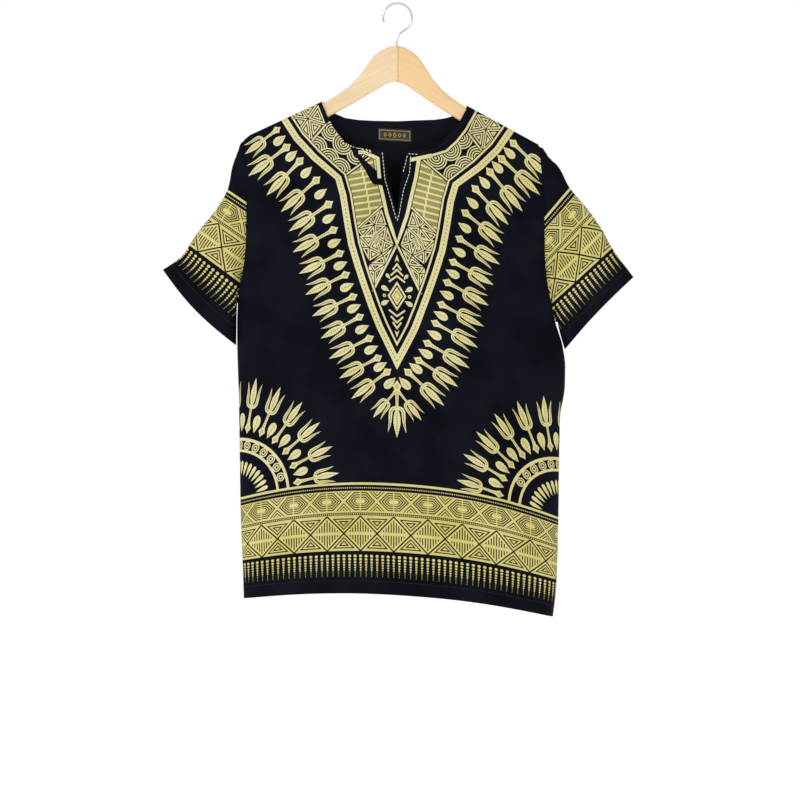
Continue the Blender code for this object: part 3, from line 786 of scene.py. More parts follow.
def neck_edge(table, side):
    """The neck edge of one half as points of x and level, up to the turn over the wood."""
    names = ("left", "left_level") if side < 0 else ("right", "right_level")
    points = [(getattr(row, names[0]), getattr(row, names[1])) for row in table]
    x, level = NECK_POINTS[side]
    return points + [(x - side * NECK_TURN_IN, level - SHOULDER_DROP), (x, level)]


def panel_edge(neck, side):
    """One half of the panel's outline above the hem, from the hem's end to the neck."""
    top = SHOULDER_POINTS[side]
    levels = np.arange(0.0, top[1], EDGE_STEP)
    edge = [(float(edge_x(level, side)), float(level)) for level in levels]
    seam = divided([top, SEAM_ENDS[side]], EDGE_STEP)[:-1]
    seam += divided([SEAM_ENDS[side], NECK_POINTS[side]], EDGE_STEP)[:-1]
    neck_line = divided(neck_edge(neck, side)[::-1], EDGE_STEP)
    return edge + seam + neck_line


def panel_outline(neck, has_slit):
    """Closed outline of the front or back on the flat pattern, counter-clockwise."""
    right = panel_edge(neck, 1)
    left = panel_edge(neck, -1)
    slit = []
    if has_slit:
        right_slit = [(row.right, row.level) for row in SLIT[::-1]]
        left_slit = [(row.left, row.level) for row in SLIT]
        slit = divided(right_slit + left_slit, EDGE_STEP)[1:-1]
    else:
        right = right[:-1]
    across = np.array(right + slit + left[::-1])
    flat = np.stack((to_flat(across[:, 0], across[:, 1]), across[:, 1]), axis=1)
    hem = divided([(-PATTERN_HALF, 0.0), (PATTERN_HALF, 0.0)], EDGE_STEP)[1:-1]
    return flat.tolist() + [list(point) for point in hem]


def turn_points():
    """Extra points where the cloth turns over the wood at the shoulders."""
    made = []
    for side in (-1, 1):
        low, high = sorted((NECK_POINTS[side][0], SHOULDER_POINTS[side][0]))
        across = np.arange(low + TURN_FROM, high - TURN_TO, TURN_STEP)
        for below in TURN_BELOW:
            level = shoulder_level(across) - below
            made += np.stack((to_flat(across, level), level), axis=1).tolist()
    return made


def declared(piece, node):
    """Hang a shell of cloth on the root body and hide the part that it replaces."""
    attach(piece, "root")
    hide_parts(node)
    return piece


def panel(node, face, neck, folds, has_slit, prints, materials):
    """The front or the back of the shirt."""
    loop = panel_outline(neck, has_slit)
    extra = grid_inside(loop, CLOTH_STEP, GRID_MARGIN).tolist() + turn_points()

    def place(u, v):
        return cloth_place(-face * u, v, face, folds)

    if face > 0:
        loop = [[-u, v] for u, v in loop[::-1]]
        extra = [[-u, v] for u, v in extra]
    piece = shell(node + "_cloth", loop, extra, prints, place, CLOTH, materials)
    return declared(piece, node)


def smooth_along(points, share):
    """A smooth line through points, read at shares of its length."""
    points = np.asarray(points, dtype=float)
    lengths = lengths_along(points)
    place = share * lengths[-1]
    return through(lengths, points[:, 0], place), through(lengths, points[:, 1], place)


def armhole_ring(side, count):
    """Points round the armhole: top, front, underarm and back, as the sleeve's root."""
    top = SHOULDER_POINTS[side][1]
    share = (1.0 - np.cos(np.linspace(0.0, math.pi, count))) / 2.0
    level = top - (top - UNDERARM_LEVEL) * share
    x = edge_x(level, side)
    hanging = hanging_depth(shoulder_level(x) - level)
    depth = np.maximum(edge_depth(level, side, hanging) - SLEEVE_INSET, 0.0)
    z = height(x, level)
    middle = (z[0] + z[-1]) / 2
    shrink = 1.0 - SLEEVE_INSET / (z[0] - middle)
    z = middle + (z - middle) * shrink
    depth[0] = 0.0
    depth[-1] = 0.0
    return x - side * SLEEVE_SEAM_STEP, depth, z


def sleeve_form(side, top_points, cuff_low, cuff_bow):
    """How a sleeve looks from the front, and half its depth.

    Both are functions of the share of its length and of the way down from its
    upper fold to its underarm, and go on straight beyond them.
    """
    root_x, root_depth, root_z = armhole_ring(side, ROOT_POINTS)
    top_root = (root_x[0], root_z[0])
    low_root = (root_x[-1], root_z[-1])
    root_down = (root_z[0] - root_z) / (root_z[0] - root_z[-1])
    root_bow = root_x - (top_root[0] + (low_root[0] - top_root[0]) * root_down)
    first = (top_root[0] + side * SLEEVE_TOP_OUT, top_root[1] - SLEEVE_TOP_DOWN)
    top_line = [top_root, first] + [(point.x, point.z) for point in top_points]
    low_first, low_second = (low_root[0] + side * out for out in UNDERARM_OUT[side])
    low_outs = (low_root[0], low_first, low_second, cuff_low.x)
    low_heights = (low_root[1], low_root[1], low_root[1] - UNDERARM_DOWN, cuff_low.z)

    def edges(share):
        top = np.stack(smooth_along(top_line, share))
        low_x = through(LOW_EDGE_SHARES, low_outs, share)
        return top, np.stack((low_x, through(LOW_EDGE_SHARES, low_heights, share)))

    def seen(share, down):
        held = np.clip(share, 0.0, 1.0)
        top, low = edges(held)
        inner = np.clip(held, BEYOND_STEP, 1.0 - BEYOND_STEP)
        top_near, low_near = edges(inner + np.where(held < 0.5, BEYOND_STEP, -BEYOND_STEP))
        spread = np.where(held < 0.5, -1.0, 1.0) / BEYOND_STEP / 2.0
        top = top + (top - top_near) * spread * (share - held)
        low = low + (low - low_near) * spread * (share - held)
        fullness = smooth_step((held - SLEEVE_FULL_FROM) / SLEEVE_FULL_OVER)
        bulge = np.sin(math.pi * np.clip(down, 0.0, 1.0))
        bow = np.interp(down, root_down, root_bow) * (1.0 - fullness)
        lift = cuff_bow * held ** 2 / np.hypot(*(low - top)) * bulge * side
        x = top[0] + (low[0] - top[0]) * down + bow - (low[1] - top[1]) * lift
        z = top[1] + (low[1] - top[1]) * down + (low[0] - top[0]) * lift
        return x, z

    def half_depth(share, down):
        share = np.clip(share, 0.0, 1.0)
        down = np.clip(down, 0.0, 1.0)
        fullness = smooth_step((share - SLEEVE_FULL_FROM) / SLEEVE_FULL_OVER)
        deep = SLEEVE_HALF_DEPTH + (CUFF_HALF_DEPTH - SLEEVE_HALF_DEPTH) * share
        phase = 2.0 * math.pi * (WAVES_AROUND * down + WAVE_SHIFT * share)
        wave = WAVE_DEPTH * np.sin(phase) * fullness
        rounded = (2.0 * np.sqrt(down * (1.0 - down))) ** SLEEVE_ROUND_POWER
        root = np.interp(down, root_down, root_depth)
        return root + ((deep + wave) * rounded - root) * fullness

    return seen, half_depth, float(lengths_along(top_line)[-1])


def sleeve_pattern(side, form, rows):
    """Tables from the sleeve's flat pattern to its share and way down, and its outline.

    On the flat pattern p is the distance from the cuff and q runs from the
    upper fold along the rows of the print: to the front where it is positive.
    """
    seen, half_depth, fold_length = form
    level = np.arange(SLEEVE_LOWEST, SLEEVE_HIGHEST + 1.0, SLEEVE_ROW_STEP)
    across = np.concatenate((NEAR_FOLD, np.arange(*AWAY_FROM_FOLD)))
    levels = [row.level for row in rows]
    from_cuff = np.interp(level, levels, [row.along_fold for row in rows])
    angle = np.radians(np.interp(level, levels, [row.degrees for row in rows]))
    starts = 1.0 - from_cuff / fold_length
    fold_x, fold_z = seen(starts, np.zeros(len(level)))
    x = fold_x[:, None] - side * np.cos(angle)[:, None] * across
    z = fold_z[:, None] - np.sin(angle)[:, None] * across
    start = np.stack(seen(np.ones(1), np.zeros(1)))
    width = float(np.hypot(*(np.stack(seen(np.ones(1), np.ones(1))) - start))[0])
    cuff_x, cuff_z = seen(np.ones(len(across)), across / width)
    steep = math.radians(rows[0].degrees)
    fade = np.clip(1.0 - level / rows[1].level, 0.0, 1.0)[:, None]
    x += fade * (cuff_x - start[0] + side * math.cos(steep) * across)
    z += fade * (cuff_z - start[1] + math.sin(steep) * across)
    share = np.zeros(x.shape)
    down = np.zeros(x.shape)
    guess = np.stack((starts, np.zeros(len(level))))
    for index in range(1, len(across)):
        for _ in range(NEWTON_STEPS):
            at_x, at_z = seen(*guess)
            share_x, share_z = seen(guess[0] + SLOPE_STEP, guess[1])
            down_x, down_z = seen(guess[0], guess[1] + SLOPE_STEP)
            a, c = (share_x - at_x) / SLOPE_STEP, (share_z - at_z) / SLOPE_STEP
            b, d = (down_x - at_x) / SLOPE_STEP, (down_z - at_z) / SLOPE_STEP
            off_x, off_z = x[:, index] - at_x, z[:, index] - at_z
            scale = a * d - b * c
            step = np.stack(((d * off_x - b * off_z) / scale, (a * off_z - c * off_x) / scale))
            guess = np.clip(guess + np.clip(step, -LONGEST_STEP, LONGEST_STEP), *GUESS_RANGE)
        share[:, index], down[:, index] = guess
    share[:, 0] = starts
    depth = half_depth(share, down)
    runs = np.hypot(np.diff(across)[None, :], np.diff(depth, axis=1))
    arc = np.concatenate((np.zeros((len(level), 1)), np.cumsum(runs, axis=1)), axis=1)
    even = np.arange(*EVEN_ACROSS)
    even_share = np.array([np.interp(even, row, values) for row, values in zip(arc, share)])
    even_down = np.array([np.interp(even, row, values) for row, values in zip(arc, down)])
    return level, even, even_share, even_down


def pattern_outline(level, even, share, down):
    """Front half of the sleeve's outline on its flat pattern, from cuff to shoulder."""
    rows = []
    for row, height_up in enumerate(level):
        inside = (down[row] <= 1.0) & (share[row] >= 0.0) & (share[row] <= 1.001)
        if not inside.any():
            continue
        last = int(np.nonzero(inside)[0][-1])
        if last + 1 >= len(even):
            continue
        gone_down = (1.0 - down[row][last]) / (down[row][last + 1] - down[row][last] + 1e-9)
        gone_in = share[row][last] / (share[row][last] - share[row][last + 1] + 1e-9)
        parts = [part for part in (gone_down, gone_in) if 0.0 <= part <= 1.0]
        reach_out = even[last] + (even[1] - even[0]) * min(parts + [1.0])
        rows.append((reach_out, float(height_up)))
    return rows


def sleeve(node, side, form, rows, prints, materials):
    """A sleeve, cut open along its underarm seam on the flat pattern.

    It returns half the flat width at the cuff's stitches and its place function.
    """
    seen, half_depth, _ = form
    level, even, share_table, down_table = sleeve_pattern(side, form, rows)

    def place(q, p):
        turned = -side * q
        share = read_grid(share_table, level, even, p, np.abs(turned))
        down = np.clip(read_grid(down_table, level, even, p, np.abs(turned)), 0.0, 1.0)
        share = np.clip(share, 0.0, 1.0)
        x, z = seen(share, down)
        y = half_depth(share, down) * np.sign(turned)
        return np.stack((x, -y, z), axis=-1)

    half = pattern_outline(level, even, share_table, down_table)
    half = [(reach_out, up) for reach_out, up in half if up >= 0.0]
    top = float(np.interp(0.0, -share_table[:, 0], level))
    half.append((0.0, top))
    cuff = (half[0][0], 0.0)
    half[0] = cuff
    line = divided(half, EDGE_STEP)
    loop = line + [(-q, p) for q, p in line[-2::-1]]
    hem = divided([(-cuff[0], 0.0), cuff], EDGE_STEP)[1:-1]
    loop = [list(point) for point in loop + hem]
    extra = grid_inside(loop, CLOTH_STEP, GRID_MARGIN).tolist()
    piece = shell(node + "_cloth", loop, extra, prints, place, CLOTH, materials)
    declared(piece, node)
    outs, ups = zip(*half)
    return float(np.interp(CUFF_STITCHES, ups, outs)), place


# Print of the border: its repeat, the levels of its rows and the sizes in them
REPEAT = 51.6
FIRST_DIAMOND = -5.0
BEAD_TOP = 59.0
BEAD_STRINGS = 6
DIAMOND_LOW = 64.0
DIAMOND_HIGH = 116.0
TICK_HIGH = 122.5
HEXAGON_HIGH = 153.5
LINE_LOW = 162.5
LINE_HIGH = 166.0
BLACK_LINE = 1.65
CORNER_LINES = (3.6, 7.3)
HATCH_LINES = 5
HATCH_PITCH = 3.95
HATCH_HALF = 0.82
HATCH_OFF_EDGE = 5.2
HATCH_OFF_MIDDLE = 2.3
HATCH_SHORTEST = 3.2
BRIGHT_OFF_POINT = 5.0
BRIGHT_HALF = 0.7
HEXAGON_RINGS = 4
HEXAGON_GAP = 2.6
HEXAGON_CORE = (8.6, 2.9)
HEXAGON_BAR = (0.8, 15.0)
HEXAGON_TALL = 13.4
RING_WIDE = 4.2
RING_TALL = 3.3
CHEVRON_RISES = (3.6, 8.2)
CHEVRON_TOP = 14.4
CHEVRON_TIP = (1.8, 12.1, 13.9)
TICK_FRAME = (1.1, 1.3)
TICK_HALF = 0.75
TICK_DOWN = 1.2
TICK_UP = 1.0
DOT_RADIUS = 1.05
BEAD_SMALL = 1.2
TICK_PITCH = 3.0
DOT_PITCH = 3.25
DASH_PITCH = 1.7
NEST_GOLD = 1.9
NEST_BLACK = 1.5
NEST_EDGE = 0.7
NEST_LEAST = 0.5

# Beads of a string from its top: distance down, half width and half height
Bead = namedtuple("Bead", "down wide tall")
BEADS = listed(
    Bead,
    (2.8, 2.5, 2.3), (7.8, 2.3, 1.9), (12.2, 2.0, 1.7), (16.2, 1.8, 1.5), (19.9, 1.6, 1.4),
    (23.3, 1.3, 1.3), (26.5, 1.1, 1.2), (29.4, 0.9, 1.1), (32.4, 0.6, 1.5),
)

# Half outlines of the motifs: distance along the motif and half width
Half = namedtuple("Half", "along half")
TRIDENT_LENGTH = 75.0
STEM = listed(
    Half,
    (0.0, 0.0), (3.5, 2.2), (7.6, 5.9), (9.6, 4.9), (13.5, 2.9), (20.0, 2.1), (30.0, 1.8),
    (38.0, 2.2), (44.0, 2.4),
)
BLADE = listed(
    Half,
    (37.0, 1.2), (42.5, 3.2), (49.0, 4.6), (56.5, 4.7), (64.5, 3.1), (70.5, 1.3), (75.0, 0.0),
)
PRONG_OUT = listed(
    Half,
    (34.0, 1.8), (34.6, 5.4), (36.8, 8.6), (41.0, 10.7), (47.0, 11.3), (54.0, 11.1),
    (61.0, 11.5), (68.5, 12.3),
)
PRONG_IN = listed(
    Half,
    (60.5, 8.8), (53.5, 7.2), (46.5, 6.4), (42.0, 5.9), (39.6, 4.4), (38.8, 1.8),
)
PRONG_LINE = listed(
    Half,
    (36.8, 3.4), (38.6, 6.4), (42.5, 8.3), (49.0, 8.9), (56.0, 9.3), (62.0, 10.1),
)
LEAF = listed(
    Half,
    (0.0, 0.0), (4.0, 2.0), (9.0, 4.8), (14.0, 6.2), (18.5, 5.8), (22.0, 3.9), (24.0, 0.0),
)
OLIVE_LINE = 1.1

# Fan at each side seam: its radii and the turn from one trident to the next
FAN_LEVEL = 159.0
FAN_STEP = math.radians(13.8)
FAN_TRIDENT_START = 100.0
FAN_TRIDENT_LENGTH = 72.0
FAN_LEAF_START = 102.5
FAN_ARCS = ((90.0, 94.0), (74.0, 77.6))
FAN_RING_RADIUS = 83.9
FAN_ARC_POINTS = 61
FAN_TRIDENTS = 6
FAN_RINGS = ((6.6, GOLD, 18), (4.9, GROUND, 16), (3.7, GOLD, 12), (1.8, GROUND, 8))
FAN_FIRST_RING = -6.5
FAN_RING_COUNT = 13
FAN_RING_STEP = math.radians(11.2)
FAN_SPIKES = 10
FAN_SPIKE_START = 41.0
FAN_CLEAR_PAST = 9.0
SPIKE = listed(
    Half,
    (0.0, 0.0), (6.0, 1.7), (14.0, 3.0), (19.0, 2.5), (21.0, 0.0),
)

# Tridents down both sides of the yoke: base, direction below level and length
Trident = namedtuple("Trident", "out v below length")
LEFT_TRIDENTS = listed(
    Trident,
    (181.4, 688.8, 38.2, 70.9), (165.4, 664.1, 37.9, 84.3), (145.2, 645.5, 46.4, 84.3),
    (119.1, 617.7, 42.7, 83.6), (99.1, 581.6, 35.4, 84.4), (91.2, 542.8, 30.3, 82.0),
    (81.4, 507.9, 28.3, 80.4), (72.5, 476.3, 27.8, 78.7), (61.0, 444.0, 26.4, 78.6),
    (50.9, 414.9, 29.3, 76.8), (35.5, 383.5, 27.1, 77.8), (22.6, 355.1, 28.1, 75.6),
    (8.6, 336.1, 36.9, 77.5),
)
RIGHT_TRIDENTS = listed(
    Trident,
    (175.3, 690.7, 41.3, 81.0), (156.3, 666.3, 40.1, 87.9), (138.9, 646.3, 47.8, 85.5),
    (116.0, 618.6, 44.5, 81.3), (99.6, 580.6, 35.9, 80.9), (90.3, 540.3, 29.1, 79.8),
    (80.3, 504.5, 26.0, 78.1), (70.8, 473.4, 25.0, 79.4), (61.6, 439.7, 23.4, 77.4),
    (51.4, 411.8, 26.6, 76.2), (37.8, 381.4, 26.8, 76.8), (24.6, 355.4, 29.7, 76.3),
    (10.1, 337.8, 39.6, 79.1),
)
LOW_TRIDENT = Trident(-4.5, 311.0, 49.5, 64.0)
TIP_TRIDENT = Trident(0.0, 320.0, 90.0, 86.0)

# Lines of the yoke on the right half, from the shoulder seam to the middle
Spot = namedtuple("Spot", "u v")
YOKE_LINE = listed(
    Spot,
    (178.0, 716.0), (171.5, 706.0), (152.0, 678.0), (124.3, 650.5), (88.5, 620.0),
    (83.6, 592.0), (76.5, 548.0), (70.5, 518.0), (60.4, 486.0), (52.0, 462.0), (38.5, 426.0),
    (26.5, 398.0), (0.0, 346.5),
)
NECK_LINE = listed(
    Spot,
    (122.0, 741.0), (117.0, 729.5), (103.3, 705.5), (89.5, 687.5), (72.5, 671.5), (50.5, 661.0),
)
SLIT_LINE = listed(
    Spot,
    (34.0, 653.0), (29.5, 624.0), (24.5, 604.0), (20.6, 588.0), (16.0, 568.0), (8.0, 545.0),
    (0.0, 523.0),
)
BAND_WIDTH = 10.2
BAND_DASHES = (1.3, 3.4)
BACK_BAND_DASHES = (1.0, 3.2)
THIN_WIDTH = 2.8
THIN_INSIDE = 12.2
NECK_LINE_WIDTH = 3.4
SLIT_LINE_WIDTH = 5.4
SLIT_LINE_EDGES = 2.6
LINE_EDGES = 2.4
FLAP_LINE = (Spot(52.0, 661.8), Spot(21.0, 650.5))
DIVIDERS = (
    (Spot(106.0, 701.3), Spot(129.0, 674.0)),
    (Spot(40.5, 652.3), Spot(76.0, 626.0)),
    (Spot(24.0, 578.0), Spot(64.0, 541.0)),
)
DIVIDER_WIDTH = 2.4
SHOULDER_CENTRE = Spot(134.0, 708.0)
SHOULDER_STAR = (
    (106.0, 701.3), (129.0, 674.0), (146.0, 691.0), (160.0, 710.0), (147.0, 726.0), (118.0, 731.0)
)
WAVE_UPPER = (Spot(106.0, 701.3), Spot(89.0, 685.0), Spot(70.0, 669.0), Spot(42.0, 653.0))
WAVE_LOWER = (Spot(129.0, 674.0), Spot(112.0, 656.5), Spot(96.0, 643.0), Spot(77.0, 627.0))
WAVE_CENTRES = listed(
    Spot,
    (97.0, 693.0), (57.0, 659.0), (121.0, 666.0), (79.0, 674.0), (102.5, 649.0), (85.0, 635.0),
)
WAVE_RADIUS = 17.0
WAVE_PITCH = 1.9
BRICK_STRIP = (Spot(21.0, 578.0), Spot(65.0, 541.0), Spot(74.5, 623.0), Spot(36.0, 652.0))
BRICK_ROWS = 13
BRICK_PITCH = 9.6
BRICK_TOP = 652.0
BRICK_LOW = 578.0
BRICK_MIDDLE = (44.0, 56.0)
BRICK_SIDES = ((-27.0, -1.2), (1.2, 27.0))
BRICK_TALL = 7.0
BRICK_DOT_PITCH = 2.3
BRICK_DOT_LEVELS = (1.2, 3.5, 5.8)
BRICK_TILT = -0.2
Star = namedtuple("Star", "centre outline")
LOWER_STARS = (
    Star((35, 550), ((24, 576), (15.5, 550), (34, 534), (53, 529), (63, 541), (44, 558))),
    Star((19.5, 527), ((15.5, 550), (4.5, 521), (24, 507), (34, 534))),
    Star((43, 515), ((34, 534), (24, 507), (43, 494), (55, 515), (60, 532))),
    Star((21.5, 504), ((4.5, 521), (17.5, 492), (43, 491), (24, 507))),
    Star((35, 480), ((17.5, 492), (34.8, 458), (45, 482), (43, 491))),
)
LOWER_HATCHED = (Spot(34.0, 541.0), Spot(22.5, 531.0), Spot(31.0, 516.0), Spot(43.0, 526.0))
HATCHED_EDGE = 0.14
HATCHED_LINES = 7
HATCHED_SHARES = ((0.14, 0.46), (0.54, 0.86))
HATCHED_WIDTH = 0.9
FIELD_LINE_WIDTH = 3.0
FIELD_LINE = (Spot(37.5, 450.0), Spot(0.0, 522.0))

# Plain ornament in the lower field: its level, and its leaves on each side
ORNAMENT_LEVEL = 445.0
Leaf = namedtuple("Leaf", "out up turn scale")
ORNAMENT_LEAVES = (
    Leaf(12.0, 7.0, 62.0, 0.58),
    Leaf(12.0, -7.0, 118.0, 0.58),
    Leaf(10.5, 25.0, 40.0, 0.42),
)

# The print of the upper front sits further out and lower on the hung cloth
SETTLE_LOW = 585.0
SETTLE_SPAN = 60.0
SETTLE_BY = 4.5
SETTLE_NEAR = 30.0
SETTLE_OVER = 40.0

# Yoke of the back, right half
BACK_YOKE_LINE = listed(
    Spot,
    (178.0, 716.0), (171.5, 706.0), (156.0, 678.0), (132.0, 655.0), (100.0, 638.0),
    (66.0, 627.0), (33.0, 621.0), (0.0, 619.0),
)
BACK_NECK_LINE = listed(
    Spot,
    (122.0, 738.0), (114.0, 724.0), (100.0, 711.5), (78.0, 704.0), (40.0, 699.5), (0.0, 698.0),
)
BACK_PANELS = 15
BACK_TRIDENT_PITCH = 27.5
BACK_TRIDENT_SCALE = 0.86
BACK_TRIDENT_OUT = 9.5
BACK_TURN_STEP = 3.0

# Left flap of the front: its painted fold shade, its corner and its neck edge
# A black patch painted over the print where the flap folds: painted shade in the fold, together
# with the black underside of the cloth
LEFT_FOLD_PAINTED_SHADE = listed(
    Spot,
    (-73.9, 665.7), (-60.1, 662.9), (-57.6, 658.0), (-55.2, 651.3), (-49.3, 645.7),
    (-41.0, 638.8), (-32.4, 631.8), (-29.4, 627.6), (-29.0, 621.1), (-15.5, 615.0),
    (-3.2, 603.8), (-5.4, 601.6), (-15.5, 608.2), (-29.4, 610.4), (-36.1, 610.0),
    (-41.7, 616.5), (-49.3, 630.9), (-56.4, 640.8), (-60.7, 647.1), (-67.8, 654.4),
)
LEFT_CORNER = (Spot(-60.0, 657.5), Spot(-51.5, 658.0), Spot(-30.0, 650.0), Spot(-27.3, 620.0))
LEFT_CORNER_EDGES = 2.1
LEFT_WAVES_OVER = 9.0
LEFT_NECK_EDGE = (Spot(-122.0, 742.0), Spot(-118.0, 727.0), Spot(-112.0, 714.0))
LEFT_NECK_STEPS = (2.4, 5.6)
LEFT_NECK_WIDTH = 1.7

# How far the border reaches: past the panel's sides, and on a sleeve
PANEL_REACH = PATTERN_HALF + 8.0
SLEEVE_REACH = 200.0
SLEEVE_FIRST_DIAMOND = 22.0

# Rows of stitches on the flat pattern, and the size of a stitch
SLIT_STITCHES = (
    (Spot(-23.0, 660.5), Spot(-18.5, 617.6), Spot(-14.8, 606.0), Spot(0.0, 556.5)),
    (Spot(0.0, 556.5), Spot(3.2, 567.0), Spot(10.5, 605.8), Spot(19.5, 630.4), Spot(21.5, 657.5)),
    (Spot(16.5, 657.8), Spot(13.0, 643.4), Spot(9.3, 631.0)),
    (Spot(16.5, 659.6), Spot(33.0, 659.6)),
)
HEM_STITCHES = 19.0
CUFF_STITCHES = 17.0
NECK_STITCHES = 6.0
Stitch = namedtuple("Stitch", "length gap radius")
TOPSTITCH = Stitch(3.5, 1.9, 0.55)
HEM_STITCH = Stitch(2.7, 1.5, 0.36)
HEM_STITCH_ENDS = 3.0
STITCH_DIP = 0.1
STITCH_STANDS = 0.7


def moved(shapes, u, v, turn=0.0, scale=1.0):
    """Copies of shapes, scaled, turned and moved."""
    cosine = math.cos(turn)
    sine = math.sin(turn)
    made = []
    for shape, ink in shapes:
        shape = np.asarray(shape, dtype=float) * scale
        across, up = shape.T
        places = np.stack((u + across * cosine - up * sine, v + across * sine + up * cosine), 1)
        made.append((places, ink))
    return made


def other_half(shapes):
    """The mirror images of shapes about the middle of the pattern."""
    return [(np.asarray(shape) * (-1.0, 1.0), ink) for shape, ink in shapes]


def mirrored(shapes):
    """Shapes and their mirror images."""
    return shapes + other_half(shapes)


def beside(points, distance):
    """A line moved to its left by a distance, with mitred corners."""
    points = np.asarray(points, dtype=float)
    runs = np.diff(points, axis=0)
    runs = runs / np.hypot(runs[:, 0], runs[:, 1])[:, None]
    sides = np.stack((-runs[:, 1], runs[:, 0]), axis=1)
    joints = np.concatenate((sides[:1], (sides[1:] + sides[:-1]) / 2, sides[-1:]))
    joints = joints / np.maximum((joints * joints).sum(axis=1), 0.2)[:, None]
    return points + joints * distance


def stroke(points, width, ink):
    """A line of even width as one four-sided shape for each run."""
    low = beside(points, -width / 2)
    high = beside(points, width / 2)
    made = []
    for index in range(len(low) - 1):
        corners = (low[index], low[index + 1], high[index + 1], high[index])
        made.append((np.array(corners), ink))
    return made


def edged(points, width, edges=LINE_EDGES):
    """A gold line with a black edge on both sides, whose widths together are edges."""
    return stroke(points, width + edges, GROUND) + stroke(points, width, GOLD)


def dashed(points, width, length, ink):
    """A broken line of even width."""
    made = []
    for start in np.arange(0.0, lengths_along(points)[-1] - length, length * DASH_PITCH):
        made += stroke(read_along(points, (start, start + length)), width, ink)
    return made


def whole_line(half):
    """A line over both halves from its right half, which ends at the middle."""
    right = [(spot.u, spot.v) for spot in half]
    return right + [(-u, v) for u, v in right[-2::-1]]


def clipped(shapes, window):
    """The parts of convex shapes inside a convex, counter-clockwise window."""
    window = np.asarray(window, dtype=float)
    made = []
    for shape, ink in shapes:
        points = [np.asarray(point, dtype=float) for point in shape]
        for start, end in zip(window, np.roll(window, -1, axis=0)):
            run = end - start
            sides = [run[0] * (at[1] - start[1]) - run[1] * (at[0] - start[0]) for at in points]
            kept = []
            for index, at in enumerate(points):
                before = sides[index - 1]
                here = sides[index]
                if (before < 0.0) != (here < 0.0):
                    part = before / (before - here)
                    kept.append(points[index - 1] + (at - points[index - 1]) * part)
                if here >= 0.0:
                    kept.append(at)
            points = kept
            if len(points) < 3:
                break
        if len(points) >= 3:
            made.append((np.array(points), ink))
    return made


def turned_left(shape):
    """The corners of a shape in counter-clockwise order."""
    shape = np.asarray(shape, dtype=float)
    return shape if signed_area(shape) > 0.0 else shape[::-1]


def nested_triangle(corners):
    """A gold triangle with black ones inside it, as far as there is room."""
    corners = turned_left(corners)
    sides = np.hypot(*(np.roll(corners, -1, axis=0) - corners).T)
    area = abs(np.cross(corners[1] - corners[0], corners[2] - corners[0])) / 2
    room = 2.0 * area / sides.sum() - NEST_LEAST
    made = []
    inset_by = NEST_EDGE
    ink = GOLD
    while inset_by < room:
        made.append((inset(corners, inset_by), ink))
        inset_by += NEST_GOLD if ink == GOLD else NEST_BLACK
        ink = GROUND if ink == GOLD else GOLD
    return made


def burst(outline, centre):
    """Nested triangles between each side of an outline and a point inside it."""
    made = []
    for start, end in zip(outline, outline[1:] + outline[:1]):
        made += nested_triangle((start, end, centre))
    return made


def inset(shape, distance):
    """A convex, counter-clockwise shape with every side moved inwards."""
    shape = np.asarray(shape, dtype=float)
    runs = np.roll(shape, -1, axis=0) - shape
    runs = runs / np.hypot(runs[:, 0], runs[:, 1])[:, None]
    inward = np.stack((-runs[:, 1], runs[:, 0]), axis=1)
    made = []
    for index, corner in enumerate(shape):
        before = inward[index - 1]
        after = inward[index]
        made.append(corner + (before + after) * distance / (1.0 + before @ after))
    return np.array(made)


def nested(shape, insets, inks):
    """Shapes inside each other, one for each inset and ink."""
    return [(inset(shape, distance), ink) for distance, ink in zip(insets, inks)]


def disc(u, v, radius, ink, sides=10, tall=None):
    """A round or oval spot."""
    angles = np.arange(sides) * 2.0 * math.pi / sides
    up = radius if tall is None else tall
    return np.stack((u + radius * np.cos(angles), v + up * np.sin(angles)), axis=1), ink


def lozenge(wide, tall):
    """A lozenge about the origin, from half its width and half its height."""
    return np.array(((wide, 0.0), (0.0, tall), (-wide, 0.0), (0.0, -tall)))


def box(left, low, right, high, ink):
    """An upright rectangle."""
    return np.array(((left, low), (right, low), (right, high), (left, high))), ink


def both_halves(table):
    """A closed shape with its axis along v from the half outline of a table."""
    right = [(row.half, row.along) for row in table]
    left = [(-half, along) for half, along in right[::-1] if half > 0.0]
    return np.array(right + left)


def dashes(low, high, width, pitch, ink):
    """A broken line along v."""
    made = []
    for start in np.arange(low, high, pitch):
        made.append(box(-width / 2, start, width / 2, min(start + pitch * 0.62, high), ink))
    return made


def trident():
    """A three-pronged motif that points along v, drawn at its full length."""
    shapes = [(both_halves(STEM), GOLD), (both_halves(BLADE), GOLD)]
    prong = [(row.half, row.along) for row in PRONG_OUT + PRONG_IN]
    line = [(row.half, row.along) for row in PRONG_LINE]
    shapes += mirrored([(np.array(prong), GOLD)] + stroke(line, OLIVE_LINE, OLIVE))
    diamond = np.array(((0.0, 4.6), (2.3, 8.0), (0.0, 11.6), (-2.3, 8.0)))
    shapes += nested(diamond, (0.0, 0.8), (OLIVE, GOLD))
    shapes += dashes(14.5, 40.0, OLIVE_LINE, 3.4, OLIVE)
    shapes += dashes(42.0, 69.0, 1.4, 3.4, OLIVE)
    return shapes


def leaf():
    """A leaf with its point at the start and its round end away from it."""
    return [(both_halves(LEAF), GOLD)] + dashes(4.0, 21.0, 1.3, 2.7, OLIVE)


